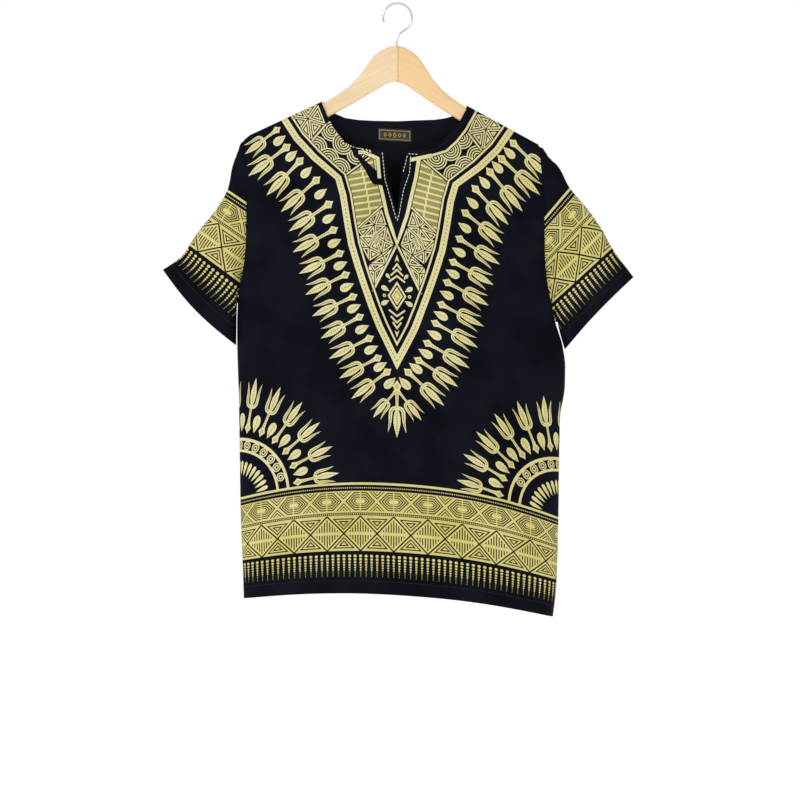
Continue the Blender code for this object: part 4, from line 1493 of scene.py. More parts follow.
def diamond_cell():
    """One repeat of the diamond row about the middle of a diamond."""
    half = REPEAT / 2
    middle = (DIAMOND_LOW + DIAMOND_HIGH) / 2
    tall = (DIAMOND_HIGH - DIAMOND_LOW) / 2
    shapes = []
    line = BLACK_LINE * 0.65
    first, second = CORNER_LINES
    insets = (line, first, first + BLACK_LINE, second, second + BLACK_LINE)
    inks = (GOLD, GROUND, GOLD, GROUND, GOLD)
    corner = ((half, middle), (REPEAT, middle + tall), (0.0, middle + tall))
    shapes += nested(corner, insets, inks)
    corner = ((half, middle), (0.0, middle - tall), (REPEAT, middle - tall))
    shapes += nested(corner, insets, inks)
    diamond = ((0.0, middle - tall), (half, middle), (0.0, middle + tall), (-half, middle))
    shapes += nested(diamond, (line,), (GOLD,))
    for index in range(-HATCH_LINES, HATCH_LINES + 1):
        across = index * HATCH_PITCH
        reach_up = tall - HATCH_OFF_EDGE - abs(across)
        if reach_up > HATCH_SHORTEST:
            for side in (-1, 1):
                low, high = sorted((middle + side * HATCH_OFF_MIDDLE, middle + side * reach_up))
                shapes.append(box(across - HATCH_HALF, low, across + HATCH_HALF, high, GROUND))
    wide, tall = half - BRIGHT_OFF_POINT, BRIGHT_HALF
    return shapes + [box(-wide, middle - tall, wide, middle + tall, BRIGHT)]


def hexagon(wide, tall):
    """A hexagon with points to the left and right, about the origin."""
    flat = wide - tall
    return np.array(
        ((wide, 0.0), (flat, tall), (-flat, tall), (-wide, 0.0), (-flat, -tall), (flat, -tall))
    )


def hexagon_cell():
    """One repeat of the hexagon row about the middle of a hexagon."""
    half = REPEAT / 2
    middle = (TICK_HIGH + HEXAGON_HIGH) / 2
    shapes = []
    for ring in range(HEXAGON_RINGS):
        outline = hexagon(half - HEXAGON_GAP - RING_WIDE * ring, HEXAGON_TALL - RING_TALL * ring)
        shapes += [(outline, GROUND), (inset(outline, BLACK_LINE * 0.95), GOLD)]
    shapes.append((hexagon(*HEXAGON_CORE), BRIGHT))
    wide, tall = HEXAGON_BAR
    shapes.append(box(-wide, -tall, wide, tall, BRIGHT))
    for side in (-1, 1):
        for rise in CHEVRON_RISES:
            wide = CHEVRON_TOP - rise
            arms = ((half - wide, CHEVRON_TOP), (half, rise), (half + wide, CHEVRON_TOP))
            shapes += stroke(np.array(arms) * (1.0, side), BLACK_LINE * 0.8, GROUND)
        wide, low, high = CHEVRON_TIP
        tip = ((half - wide, high), (half, low), (half + wide, high))
        shapes.append((np.array(tip) * (1.0, side), GROUND))
    return moved(shapes, 0.0, middle)


def border(first, last, start=FIRST_DIAMOND):
    """The whole border between two places across, from its beads up to its line."""
    shapes = [
        box(first, DIAMOND_LOW, last, HEXAGON_HIGH, GOLD),
        box(first, LINE_LOW, last, LINE_HIGH, GOLD),
        box(first, DIAMOND_HIGH + TICK_FRAME[0], last, TICK_HIGH - TICK_FRAME[1], GROUND),
    ]
    low = math.floor((first - start) / REPEAT)
    high = math.ceil((last - start) / REPEAT)
    middle = (DIAMOND_LOW + DIAMOND_HIGH) / 2
    tall = (DIAMOND_HIGH - DIAMOND_LOW) / 2
    for index in range(low, high + 1):
        across = start + index * REPEAT
        for side in (-1, 1):
            ends = ((across, middle - side * tall), (across + REPEAT, middle + side * tall))
            shapes += stroke(ends, BLACK_LINE * 1.3, GROUND)
        shapes += moved(diamond_cell(), across, 0.0)
        shapes += moved(hexagon_cell(), across, 0.0)
        for string in range(BEAD_STRINGS):
            place = across + string * REPEAT / BEAD_STRINGS
            for bead in BEADS:
                ink = GOLD if bead.wide > BEAD_SMALL else OLIVE
                shapes.append(disc(place, BEAD_TOP - bead.down, bead.wide, ink, 8, bead.tall))
    level = (DIAMOND_HIGH + TICK_HIGH) / 2
    for place in np.arange(first, last, TICK_PITCH):
        left, right = place - TICK_HALF, place + TICK_HALF
        shapes.append(box(left, level - TICK_DOWN, right, level + TICK_UP, GOLD))
    for place in np.arange(first, last, DOT_PITCH):
        shapes.append(disc(place, (HEXAGON_HIGH + LINE_LOW) / 2, DOT_RADIUS, GOLD, 6))
    return shapes


def radial(shapes, radius, turn):
    """Shapes that point along v, placed on a circle; the turn runs from straight up."""
    return moved(shapes, -radius * math.sin(turn), radius * math.cos(turn), turn)


def fan():
    """The half sun about a point on the side seam, above the border."""
    shapes = []
    for inner, outer in FAN_ARCS:
        radius = (inner + outer) / 2
        angles = np.linspace(-math.pi / 2, math.pi / 2, FAN_ARC_POINTS)
        line = [(radius * math.sin(angle), radius * math.cos(angle)) for angle in angles]
        shapes += stroke(line, outer - inner, GOLD)
    rings = [disc(0.0, 0.0, *ring) for ring in FAN_RINGS]
    for index in range(FAN_RING_COUNT):
        shapes += radial(rings, FAN_RING_RADIUS, (FAN_FIRST_RING + index) * FAN_RING_STEP)
    scale = FAN_TRIDENT_LENGTH / TRIDENT_LENGTH
    for index in range(-FAN_TRIDENTS, FAN_TRIDENTS + 1):
        turn = index * FAN_STEP
        shapes += radial(moved(trident(), 0.0, 0.0, scale=scale), FAN_TRIDENT_START, turn)
        if index < FAN_TRIDENTS:
            shapes += radial(leaf(), FAN_LEAF_START, turn + FAN_STEP / 2)
    for index in range(-FAN_SPIKES, FAN_SPIKES):
        turn = (index + 0.5) * math.pi / 2 / FAN_SPIKES
        shapes += radial([(both_halves(SPIKE), GOLD)], FAN_SPIKE_START, turn)
    return shapes


def fans():
    """The fans at both side seams, cut off by the border's line."""
    made = []
    for u in (-PATTERN_HALF, PATTERN_HALF):
        made += moved(fan(), u, FAN_LEVEL)
    reach_out = PATTERN_HALF + FAN_CLEAR_PAST
    return made + [box(-reach_out, HEXAGON_HIGH, reach_out, LINE_LOW, GROUND)]


def settled(shapes):
    """The print of the upper front, moved to where it sits on the real cloth."""
    made = []
    for shape, ink in shapes:
        places = np.array(shape, dtype=float)
        high = smooth_step((places[:, 1] - SETTLE_LOW) / SETTLE_SPAN)
        out = smooth_step((np.abs(places[:, 0]) - SETTLE_NEAR) / SETTLE_OVER)
        by = SETTLE_BY * high * out
        side = np.sign(places[:, 0])
        places[:, 0] += by * side
        places[:, 1] -= by
        made.append((places, ink))
    return made


def yoke_tridents():
    """The rows of tridents and leaves that follow the outside of the yoke."""
    shapes = []
    for side, rows in ((-1, LEFT_TRIDENTS), (1, RIGHT_TRIDENTS)):
        rows = rows + (LOW_TRIDENT,)
        for row in rows:
            turn = -side * math.radians(90.0 + row.below)
            shapes += moved(trident(), side * row.out, row.v, turn, row.length / TRIDENT_LENGTH)
        for row, after in zip(rows, rows[1:]):
            turn = -side * math.radians(90.0 + (row.below + after.below) / 2)
            middle = (side * (row.out + after.out) / 2, (row.v + after.v) / 2)
            shapes += moved(leaf(), middle[0], middle[1], turn)
    tip = TIP_TRIDENT
    return shapes + moved(trident(), tip.out, tip.v, math.pi, tip.length / TRIDENT_LENGTH)


def waves(higher):
    """Rings about centres on both sides of the curved strip below the shoulder.

    The strip's upper edge is moved up by the distance higher.
    """
    rings = []
    for centre in WAVE_CENTRES:
        radius = WAVE_RADIUS
        ink = GOLD
        while radius > WAVE_PITCH * 0.7:
            rings.append(disc(centre.u, centre.v, radius, ink, 22))
            radius -= WAVE_PITCH
            ink = GROUND if ink == GOLD else GOLD
    made = []
    upper_line = beside(WAVE_UPPER, -higher).tolist()
    pairs = list(zip(upper_line, WAVE_LOWER))
    for (upper, lower), (next_upper, next_lower) in zip(pairs, pairs[1:]):
        window = turned_left((upper, lower, next_lower, next_upper))
        made += clipped(rings, window)
    return made


def bricks():
    """Rows of dotted bricks with bright lines between them."""
    window = turned_left(BRICK_STRIP)
    shapes = [(window, GOLD)]
    for row in range(BRICK_ROWS):
        level = BRICK_TOP - BRICK_PITCH * row
        share = (level - BRICK_LOW) / (BRICK_TOP - BRICK_LOW)
        middle = BRICK_MIDDLE[0] + (BRICK_MIDDLE[1] - BRICK_MIDDLE[0]) * share
        for left, right in BRICK_SIDES:
            corners = []
            for across, up in ((left, 0.0), (right, 0.0), (right, BRICK_TALL), (left, BRICK_TALL)):
                corners.append((middle + across, level + up + BRICK_TILT * across))
            shapes.append((np.array(corners), OLIVE))
            for dot in np.arange(left + 1.4, right - 0.6, BRICK_DOT_PITCH):
                for up in BRICK_DOT_LEVELS:
                    across = dot + (up - BRICK_DOT_LEVELS[1]) * 0.4
                    high = level + up + BRICK_TILT * dot
                    shapes.append(disc(middle + across, high, 0.62, GOLD, 4))
    return clipped(shapes, window)


def hatched(outline):
    """A gold four-sided field with fine black lines on both sides of its diagonal."""
    outline = turned_left(outline)
    made = [(inset(outline, 1.0), GOLD)]
    first, second, third, fourth = outline
    for share in np.linspace(HATCHED_EDGE, 1.0 - HATCHED_EDGE, HATCHED_LINES):
        start = first + (fourth - first) * share
        run = second + (third - second) * share - start
        for low, high in HATCHED_SHARES:
            made += stroke((start + run * low, start + run * high), HATCHED_WIDTH, GROUND)
    return made


def ornament():
    """The plain ornament of lozenges, chevrons and leaves in the yoke's lower field."""
    inks = (GOLD, GROUND, GOLD, OLIVE, BRIGHT)
    shapes = nested(lozenge(14.5, 22.0), (0.0, 2.6, 4.6, 7.0, 8.4), inks)
    for lift, half in ((28.0, 12.5), (37.5, 9.5), (46.0, 6.5)):
        for side in (-1, 1):
            low, high = side * (lift - 7.0), side * (lift + 2.0)
            shapes += stroke(((-half, low), (0.0, high), (half, low)), 2.6, GOLD)
    tip = np.array(((0.0, 62.0), (-3.6, 51.0), (0.0, 54.0), (3.6, 51.0)))
    shapes += [(tip, GOLD), (tip * (1.0, -1.0), GOLD)]
    for side in (-1, 1):
        for out, up, turn, scale in ORNAMENT_LEAVES:
            shapes += moved(leaf(), side * out, up, -side * math.radians(turn), scale)
        shapes += [disc(side * 19.5, 0.0, 2.6, GOLD, 12), disc(side * 19.5, 0.0, 1.1, GROUND, 8)]
    return moved(shapes, 0.0, ORNAMENT_LEVEL)


def half_yoke(waves_higher=0.0):
    """The panels on the right half of the front's yoke."""
    shapes = burst(SHOULDER_STAR, SHOULDER_CENTRE) + waves(waves_higher) + bricks()
    for star in LOWER_STARS:
        shapes += burst(star.outline, star.centre)
    shapes += hatched(LOWER_HATCHED)
    for ends in DIVIDERS:
        shapes += edged(ends, DIVIDER_WIDTH, DIVIDER_WIDTH)
    return shapes + stroke(FIELD_LINE, FIELD_LINE_WIDTH, GOLD)


def front_yoke():
    """The yoke on the front: its panels, and the bands of its neck, slit and outside."""
    band = whole_line(YOKE_LINE)
    thin = beside(band, -THIN_INSIDE)
    neck = [(spot.u, spot.v) for spot in NECK_LINE]
    slit = whole_line(SLIT_LINE)
    shapes = half_yoke() + other_half(half_yoke(LEFT_WAVES_OVER))
    shapes += edged(slit, SLIT_LINE_WIDTH, SLIT_LINE_EDGES) + edged(neck, NECK_LINE_WIDTH)
    shapes += stroke(FLAP_LINE, SLIT_LINE_WIDTH, GOLD) + edged(thin, THIN_WIDTH)
    shapes += stroke(band, BAND_WIDTH, GOLD) + dashed(band, *BAND_DASHES, OLIVE)
    return shapes


def left_flap_with_painted_fold_shade():
    """A black patch of painted shade where the left flap folds, and the gold line round the flap's
    corner.
    """
    # The black patch paints the shade in the flap's fold over the print
    shapes = [(np.array(LEFT_FOLD_PAINTED_SHADE), GROUND)]
    shapes += edged(LEFT_CORNER, SLIT_LINE_WIDTH, LEFT_CORNER_EDGES)
    for step in LEFT_NECK_STEPS:
        shapes += stroke(beside(LEFT_NECK_EDGE, step), LEFT_NECK_WIDTH, GOLD)
    return shapes


def back_yoke():
    """The shallow yoke round the back of the neck, with its row of tridents."""
    band = whole_line(BACK_YOKE_LINE)
    thin = beside(band, -THIN_INSIDE)
    neck = whole_line(BACK_NECK_LINE)
    shares = np.arange(BACK_PANELS + 1) / BACK_PANELS
    lower = read_along(thin, shares * lengths_along(thin)[-1]).tolist()
    upper = read_along(neck, shares * lengths_along(neck)[-1]).tolist()
    shapes = []
    for index in range(BACK_PANELS):
        outline = [lower[index], upper[index], upper[index + 1], lower[index + 1]]
        if index % 3 == 1:
            shapes += hatched(outline)
        else:
            shapes += burst(outline, np.mean(outline, axis=0).tolist())
    shapes += edged(neck, NECK_LINE_WIDTH) + edged(thin, THIN_WIDTH)
    shapes += stroke(band, BAND_WIDTH, GOLD) + dashed(band, *BACK_BAND_DASHES, OLIVE)
    outer = beside(band, BACK_TRIDENT_OUT)
    length = lengths_along(outer)[-1]
    count = 2 * int(length / BACK_TRIDENT_PITCH)
    for index in range(count + 1):
        at = length * index / count
        u, v = read_along(outer, at)
        before, after = read_along(outer, (at - BACK_TURN_STEP, at + BACK_TURN_STEP))
        turn = math.atan2(after[1] - before[1], after[0] - before[0])
        if index % 2:
            shapes += moved(trident(), u, v, turn, BACK_TRIDENT_SCALE)
        else:
            shapes += moved(leaf(), u, v, turn)
    return shapes


def panel_print(is_front):
    """The print of the front or the back."""
    shapes = fans() + border(-PANEL_REACH, PANEL_REACH)
    if is_front:
        return shapes + yoke_tridents() + settled(front_yoke()) + left_flap_with_painted_fold_shade() + ornament()
    return shapes + back_yoke()


def sleeve_print():
    """The print of a sleeve: the border again, measured from the cuff."""
    return border(-SLEEVE_REACH, SLEEVE_REACH, SLEEVE_FIRST_DIAMOND)


def add_node(tree, kind, values=(), **settings):
    """A node with its settings, and its inputs set to values or linked to sockets."""
    made = tree.nodes.new(kind)
    for name, value in settings.items():
        setattr(made, name, value)
    for name, value in values:
        if isinstance(value, bpy.types.NodeSocket):
            tree.links.new(value, made.inputs[name])
        else:
            made.inputs[name].default_value = value
    return made


def effect_group(name, inputs, outputs):
    """A shader node group with named sockets, and its two ends."""
    tree = bpy.data.node_groups.new(name, "ShaderNodeTree")
    for socket, kind, value in inputs:
        made = tree.interface.new_socket(name=socket, in_out="INPUT", socket_type=kind)
        if value is not None:
            made.default_value = value
    for socket in outputs:
        tree.interface.new_socket(name=socket, in_out="OUTPUT", socket_type="NodeSocketFloat")
    return tree, tree.nodes.new("NodeGroupInput"), tree.nodes.new("NodeGroupOutput")


def calculated(tree, operation, *values):
    """The result of a Math node."""
    made = add_node(tree, "ShaderNodeMath", tuple(enumerate(values)), operation=operation)
    return made.outputs[0]


def noise(tree, vector, scale, detail, roughness=0.5, distortion=0.0):
    """The values of a noise texture."""
    values = (("Vector", vector), ("Scale", scale), ("Detail", detail))
    values += (("Roughness", roughness), ("Distortion", distortion))
    return add_node(tree, "ShaderNodeTexNoise", values).outputs["Fac"]


def stretched(tree, vector, scale):
    """The places of a pattern, scaled along each axis."""
    values = (("Vector", vector), ("Scale", scale))
    return add_node(tree, "ShaderNodeMapping", values).outputs["Vector"]


def bumped(tree, strength, distance, height, under=None):
    """A normal from a height, added to the normal under it."""
    values = (("Strength", strength), ("Distance", distance), ("Height", height))
    if under is not None:
        values += (("Normal", under),)
    return add_node(tree, "ShaderNodeBump", values).outputs["Normal"]


def weave_group():
    """Plain weave: the height of the threads, and uneven threads as a shade."""
    inputs = (("Pattern", "NodeSocketVector", None), ("Threads", "NodeSocketFloat", 1800.0))
    tree, start, end = effect_group("plain weave", inputs, ("Height", "Shade"))
    scaled = add_node(
        tree,
        "ShaderNodeVectorMath",
        ((0, start.outputs["Pattern"]), ("Scale", start.outputs["Threads"])),
        operation="SCALE",
    )
    lifted = add_node(
        tree,
        "ShaderNodeVectorMath",
        ((0, scaled.outputs["Vector"]), (1, (0.0, 0.0, 0.5))),
        operation="ADD",
    )
    parts = add_node(tree, "ShaderNodeSeparateXYZ", ((0, lifted.outputs["Vector"]),))
    crowns = []
    for axis in ("X", "Y"):
        turns = calculated(tree, "MULTIPLY", parts.outputs[axis], math.pi)
        crowns.append(calculated(tree, "ABSOLUTE", calculated(tree, "SINE", turns)))
    squares = add_node(
        tree,
        "ShaderNodeTexChecker",
        (("Vector", lifted.outputs["Vector"]), ("Scale", 1.0)),
    )
    over = add_node(
        tree,
        "ShaderNodeMix",
        (("Factor", squares.outputs["Fac"]), ("A", crowns[0]), ("B", crowns[1])),
    )
    slubs = noise(tree, stretched(tree, start.outputs["Pattern"], (1500.0, 60.0, 1.0)), 1.0, 2.0)
    tree.links.new(over.outputs[0], end.inputs["Height"])
    tree.links.new(slubs, end.inputs["Shade"])
    return tree


def drape_group():
    """Patches of random tone and painted sheen, and a height for small creases of hung cloth."""
    inputs = (("Pattern", "NodeSocketVector", None),)
    tree, start, end = effect_group("hung cloth", inputs, ("Patches", "Creases"))
    tone_and_sheen = noise(tree, start.outputs["Pattern"], 14.0, 3.0)
    long_way = stretched(tree, start.outputs["Pattern"], (34.0, 7.0, 1.0))
    creases = noise(tree, long_way, 1.0, 4.0, roughness=0.55, distortion=0.6)
    tree.links.new(tone_and_sheen, end.inputs["Patches"])
    tree.links.new(creases, end.inputs["Creases"])
    return tree


def colour_mix(tree, factor, first, second, blend="MIX"):
    """A Mix node for colours; first and second are colours or sockets."""
    made = add_node(tree, "ShaderNodeMix", (), data_type="RGBA", blend_type=blend)
    for index, value in ((0, factor), (6, first), (7, second)):
        if isinstance(value, bpy.types.NodeSocket):
            tree.links.new(value, made.inputs[index])
        elif index:
            made.inputs[index].default_value = (*value, 1.0)
        else:
            made.inputs[index].default_value = value
    return made.outputs[2]


def spread(tree, value, low, high, to_low=0.0, to_high=1.0):
    """Map a value from one range to another."""
    names = ("Value", "From Min", "From Max", "To Min", "To Max")
    values = tuple(zip(names, (value, low, high, to_low, to_high)))
    return add_node(tree, "ShaderNodeMapRange", values).outputs["Result"]


def new_material(name, roughness, specular=0.5, metallic=0.0):
    """A material with its node tree and its Principled shader."""
    material = bpy.data.materials.new(name)
    material.use_nodes = True
    tree = material.node_tree
    shader = tree.nodes["Principled BSDF"]
    shader.inputs["Roughness"].default_value = roughness
    shader.inputs["Specular IOR Level"].default_value = specular
    shader.inputs["Metallic"].default_value = metallic
    return material, tree, shader


def cloth_material(name, colours, groups, roughness, specular, border_colours=None):
    """Printed cotton: two near colours, uneven threads, weave and small creases."""
    material, tree, shader = new_material(name, roughness, specular)
    pattern = add_node(tree, "ShaderNodeUVMap", uv_map="cloth").outputs["UV"]
    inputs = (("Pattern", pattern), ("Threads", THREADS_PER_METRE))
    weave = add_node(tree, "ShaderNodeGroup", inputs, node_tree=groups["weave"])
    drape = add_node(tree, "ShaderNodeGroup", (("Pattern", pattern),), node_tree=groups["drape"])
    # Patches of random tone; with the lighter, bluer black they are painted sheen on the black
    # cloth
    tone_and_sheen = spread(tree, drape.outputs["Patches"], 0.35, 0.65, 0.0, 1.0)
    colour = colour_mix(tree, tone_and_sheen, *colours)
    if border_colours:
        parts = add_node(tree, "ShaderNodeSeparateXYZ", ((0, pattern),))
        in_border = spread(tree, parts.outputs["Y"], *BORDER_FADE, 1.0, 0.0)
        colour = colour_mix(tree, in_border, colour, colour_mix(tree, tone_and_sheen, *border_colours))
        sideways = spread(tree, parts.outputs["X"], *SIDE_FADE, 0.0, 0.5)
        colour = colour_mix(tree, sideways, colour, colour_mix(tree, tone_and_sheen, *border_colours))
    threads = spread(tree, weave.outputs["Shade"], 0.3, 0.7, 0.93, 1.05)
    shade = add_node(tree, "ShaderNodeCombineColor", tuple((axis, threads) for axis in range(3)))
    colour = colour_mix(tree, 1.0, colour, shade.outputs["Color"], "MULTIPLY")
    tree.links.new(colour, shader.inputs["Base Color"])
    rough = spread(tree, drape.outputs["Patches"], 0.3, 0.7, roughness - 0.07, roughness + 0.07)
    tree.links.new(rough, shader.inputs["Roughness"])
    creased = bumped(tree, 0.5, CREASE_HEIGHT, drape.outputs["Creases"])
    woven = bumped(tree, 0.5, WEAVE_HEIGHT, weave.outputs["Height"], creased)
    tree.links.new(woven, shader.inputs["Normal"])
    return material


def satin_material(name, first, second, sheen, groups):
    """Satin weave of the label, with fine threads along its length."""
    material, tree, shader = new_material(name, 0.42, 0.4)
    shader.inputs["Sheen Weight"].default_value = sheen
    pattern = add_node(tree, "ShaderNodeUVMap", uv_map="cloth").outputs["UV"]
    inputs = (("Pattern", pattern), ("Threads", 2 * THREADS_PER_METRE))
    weave = add_node(tree, "ShaderNodeGroup", inputs, node_tree=groups["weave"])
    colour = colour_mix(tree, weave.outputs["Shade"], first, second)
    tree.links.new(colour, shader.inputs["Base Color"])
    woven = bumped(tree, 0.35, WEAVE_HEIGHT, weave.outputs["Height"])
    tree.links.new(woven, shader.inputs["Normal"])
    return material


def wood_material():
    """Pale lacquered wood whose grain follows each arm, with a joint at the middle."""
    material, tree, shader = new_material("pale lacquered wood", 0.42, 0.35)
    shader.inputs["Coat Weight"].default_value = 0.15
    shader.inputs["Coat Roughness"].default_value = 0.2
    place = add_node(tree, "ShaderNodeTexCoord").outputs["Object"]
    parts = add_node(tree, "ShaderNodeSeparateXYZ", ((0, place),))
    out = calculated(tree, "ABSOLUTE", parts.outputs["X"])
    halves = (("X", out), ("Y", parts.outputs["Y"]), ("Z", parts.outputs["Z"]))
    folded = add_node(tree, "ShaderNodeCombineXYZ", halves)
    along = add_node(
        tree,
        "ShaderNodeMapping",
        (("Vector", folded.outputs["Vector"]), ("Rotation", (0.0, -math.atan(ARM_SLOPE), 0.0))),
    )
    streaks = stretched(tree, along.outputs["Vector"], (9.0, 160.0, 260.0))
    grain = noise(tree, streaks, 1.0, 5.0, distortion=0.8)
    pores = stretched(tree, along.outputs["Vector"], (60.0, 1400.0, 1700.0))
    fine = noise(tree, pores, 1.0, 2.0)
    side = spread(tree, parts.outputs["X"], -0.0004, 0.0004)
    base = colour_mix(tree, side, (0.86, 0.67, 0.42), (0.87, 0.61, 0.31))
    streaked = spread(tree, grain, 0.35, 0.68, 0.0, 0.4)
    base = colour_mix(tree, streaked, base, (0.66, 0.42, 0.2))
    base = colour_mix(tree, spread(tree, fine, 0.6, 0.75, 0.0, 0.35), base, (0.5, 0.3, 0.14))
    glued = calculated(tree, "LESS_THAN", out, GLUE_LINE_HALF)
    base = colour_mix(tree, glued, base, (0.42, 0.25, 0.12))
    tree.links.new(base, shader.inputs["Base Color"])
    tree.links.new(spread(tree, grain, 0.3, 0.7, 0.34, 0.5), shader.inputs["Roughness"])
    tree.links.new(bumped(tree, 0.2, 0.0004, fine), shader.inputs["Normal"])
    return material


def steel_material():
    """Bright plated wire with faint drawing marks."""
    material, tree, shader = new_material("bright steel wire", 0.24, 0.5, 1.0)
    place = add_node(tree, "ShaderNodeTexCoord").outputs["Object"]
    marks = noise(tree, place, 900.0, 3.0)
    dull = noise(tree, place, 60.0, 2.0)
    colour = colour_mix(tree, dull, (0.56, 0.56, 0.57), (0.72, 0.72, 0.73))
    tree.links.new(colour, shader.inputs["Base Color"])
    tree.links.new(spread(tree, marks, 0.3, 0.7, 0.16, 0.34), shader.inputs["Roughness"])
    tree.links.new(bumped(tree, 0.1, 0.0001, marks), shader.inputs["Normal"])
    return material


def thread_material(name, first, second):
    """Twisted sewing thread."""
    material, tree, shader = new_material(name, 0.65, 0.3)
    place = add_node(tree, "ShaderNodeTexCoord").outputs["Object"]
    twist = add_node(
        tree,
        "ShaderNodeTexWave",
        (("Vector", place), ("Scale", 700.0), ("Distortion", 1.5)),
        bands_direction="DIAGONAL",
    ).outputs["Fac"]
    tree.links.new(colour_mix(tree, twist, first, second), shader.inputs["Base Color"])
    tree.links.new(bumped(tree, 0.4, 0.0002, twist), shader.inputs["Normal"])
    return material


def floor_material():
    """A plain white floor that meets the white surround."""
    material, tree, shader = new_material("white floor", 0.9, 0.1)
    place = add_node(tree, "ShaderNodeTexCoord").outputs["Object"]
    colour = colour_mix(tree, noise(tree, place, 4.0, 2.0), (0.9, 0.9, 0.9), (0.93, 0.93, 0.93))
    tree.links.new(colour, shader.inputs["Base Color"])
    shader.inputs["Emission Color"].default_value = (1.0, 1.0, 1.0, 1.0)
    shader.inputs["Emission Strength"].default_value = 0.35
    return material


def wood_outline():
    """Closed outline of the level hanger as x and z, clockwise from its middle."""
    lowered = NECK_HEIGHT - WOOD_TO_SHOULDER / math.cos(math.atan(ARM_SLOPE))
    upper = [(row.out, row.upper) for row in WOOD]
    lower = [(row.out, row.lower) for row in WOOD]
    neck_top = NECK_HEIGHT - WOOD_UNDER_NECK_POINT
    upper.append((NECK_HALF, neck_top))
    lower.append((NECK_HALF, neck_top - WOOD_ARM_DEPTH + WOOD_NECK_THINNING))
    for out in ARM_STATIONS:
        top = lowered - ARM_SLOPE * (out - NECK_HALF)
        share = (out - NECK_HALF) / (ARM_END - NECK_HALF)
        deep = WOOD_ARM_DEPTH + (WOOD_END_DEPTH - WOOD_ARM_DEPTH) * share
        upper.append((out, top))
        lower.append((out, top - deep))
    end_top = upper[-1]
    end_low = lower[-1]
    end_height = (end_top[1] + end_low[1]) / 2 - WOOD_END_DROP
    radius = (end_top[1] - end_low[1]) / 2
    end = []
    for degrees in WOOD_END_ANGLES:
        angle = math.radians(degrees)
        out = end_top[0] + WOOD_END_REACH * math.cos(angle)
        end.append((out, end_height + radius * math.sin(angle)))
    right = upper + end + lower[::-1]
    left = [(-out, up) for out, up in right[::-1] if out > 0.0]
    return right + left


def deselect_all():
    """Leave nothing selected."""
    for item in bpy.context.selected_objects:
        item.select_set(False)


def applied(piece):
    """Put a piece's modifiers and its place into its mesh."""
    deselect_all()
    piece.select_set(True)
    bpy.context.view_layer.objects.active = piece
    bpy.ops.object.convert(target="MESH")
    bpy.ops.object.transform_apply(location=True, rotation=True, scale=True)
    return piece


def only_material(piece, material):
    """Give a piece one material."""
    piece.data.materials.clear()
    piece.data.materials.append(material)


def wires(name, radius, resolution, lines):
    """Round wires with closed ends along lines of points, as one piece."""
    curve = bpy.data.curves.new(name, "CURVE")
    curve.dimensions = "3D"
    curve.bevel_depth = radius * MM
    curve.bevel_resolution = resolution
    curve.use_fill_caps = True
    for line in lines:
        spline = curve.splines.new("POLY")
        spline.points.add(len(line) - 1)
        for point, (x, y, z) in zip(spline.points, line):
            point.co = (x * MM, y * MM, z * MM, 1.0)
    return applied(linked(name, curve))


def hanger(material):
    """The wooden hanger with rounded edges."""
    curve = bpy.data.curves.new("hanger_wood", "CURVE")
    curve.dimensions = "2D"
    curve.fill_mode = "BOTH"
    curve.extrude = (WOOD_THICKNESS / 2 - WOOD_ROUNDING) * MM
    curve.bevel_depth = WOOD_ROUNDING * MM
    curve.bevel_resolution = 6
    curve.offset = -WOOD_ROUNDING * MM
    outline = wood_outline()
    spline = curve.splines.new("POLY")
    spline.points.add(len(outline) - 1)
    for point, (x, z) in zip(spline.points, outline):
        point.co = (x * MM, z * MM, 0.0, 1.0)
    spline.use_cyclic_u = True
    piece = linked("hanger_wood", curve)
    upright = Matrix.Rotation(math.pi / 2, 4, "X")
    piece.matrix_world = Matrix.Rotation(HANGER_TILT, 4, "Y") @ upright
    applied(piece)
    bm = bmesh.new()
    bm.from_mesh(piece.data)
    bmesh.ops.remove_doubles(bm, verts=bm.verts[:], dist=0.00001)
    bmesh.ops.recalc_face_normals(bm, faces=bm.faces[:])
    bm.to_mesh(piece.data)
    bm.free()
    bpy.ops.object.shade_smooth_by_angle(angle=math.radians(40.0))
    only_material(piece, material)
    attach(piece, "root")
    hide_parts("hanger")
    return piece


def hook_path():
    """Centre line of the wire: shank, swing to the side and round hook."""
    radius = HOOK_INNER_RADIUS + WIRE / 2
    centre = -HOOK_INNER_RADIUS
    turn = -HOOK_START
    join_x = radius * math.cos(HOOK_START)
    swing = join_x / (1.0 - math.cos(turn))
    join_z = centre + radius * math.sin(HOOK_START)
    start_z = join_z - swing * math.sin(turn)
    points = [(0.0, WOOD[0].upper - SHANK_DEPTH), (0.0, WOOD[0].upper)]
    for step in range(SWING_STEPS):
        angle = turn * step / SWING_STEPS
        points.append((swing * (1.0 - math.cos(angle)), start_z + swing * math.sin(angle)))
    for step in range(HOOK_STEPS + 1):
        angle = HOOK_START + (HOOK_END - HOOK_START) * step / HOOK_STEPS
        points.append((radius * math.cos(angle), centre + radius * math.sin(angle)))
    return points


def hook(material):
    """The steel wire hook."""
    hung = [tilted(x, z) for x, z in hook_path()]
    piece = wires("hook_wire", WIRE / 2, 5, [[(x, 0.0, z) for x, z in hung]])
    bpy.ops.object.shade_smooth_by_angle(angle=math.radians(50.0))
    only_material(piece, material)
    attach(piece, "root")
    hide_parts("hook")
    return piece


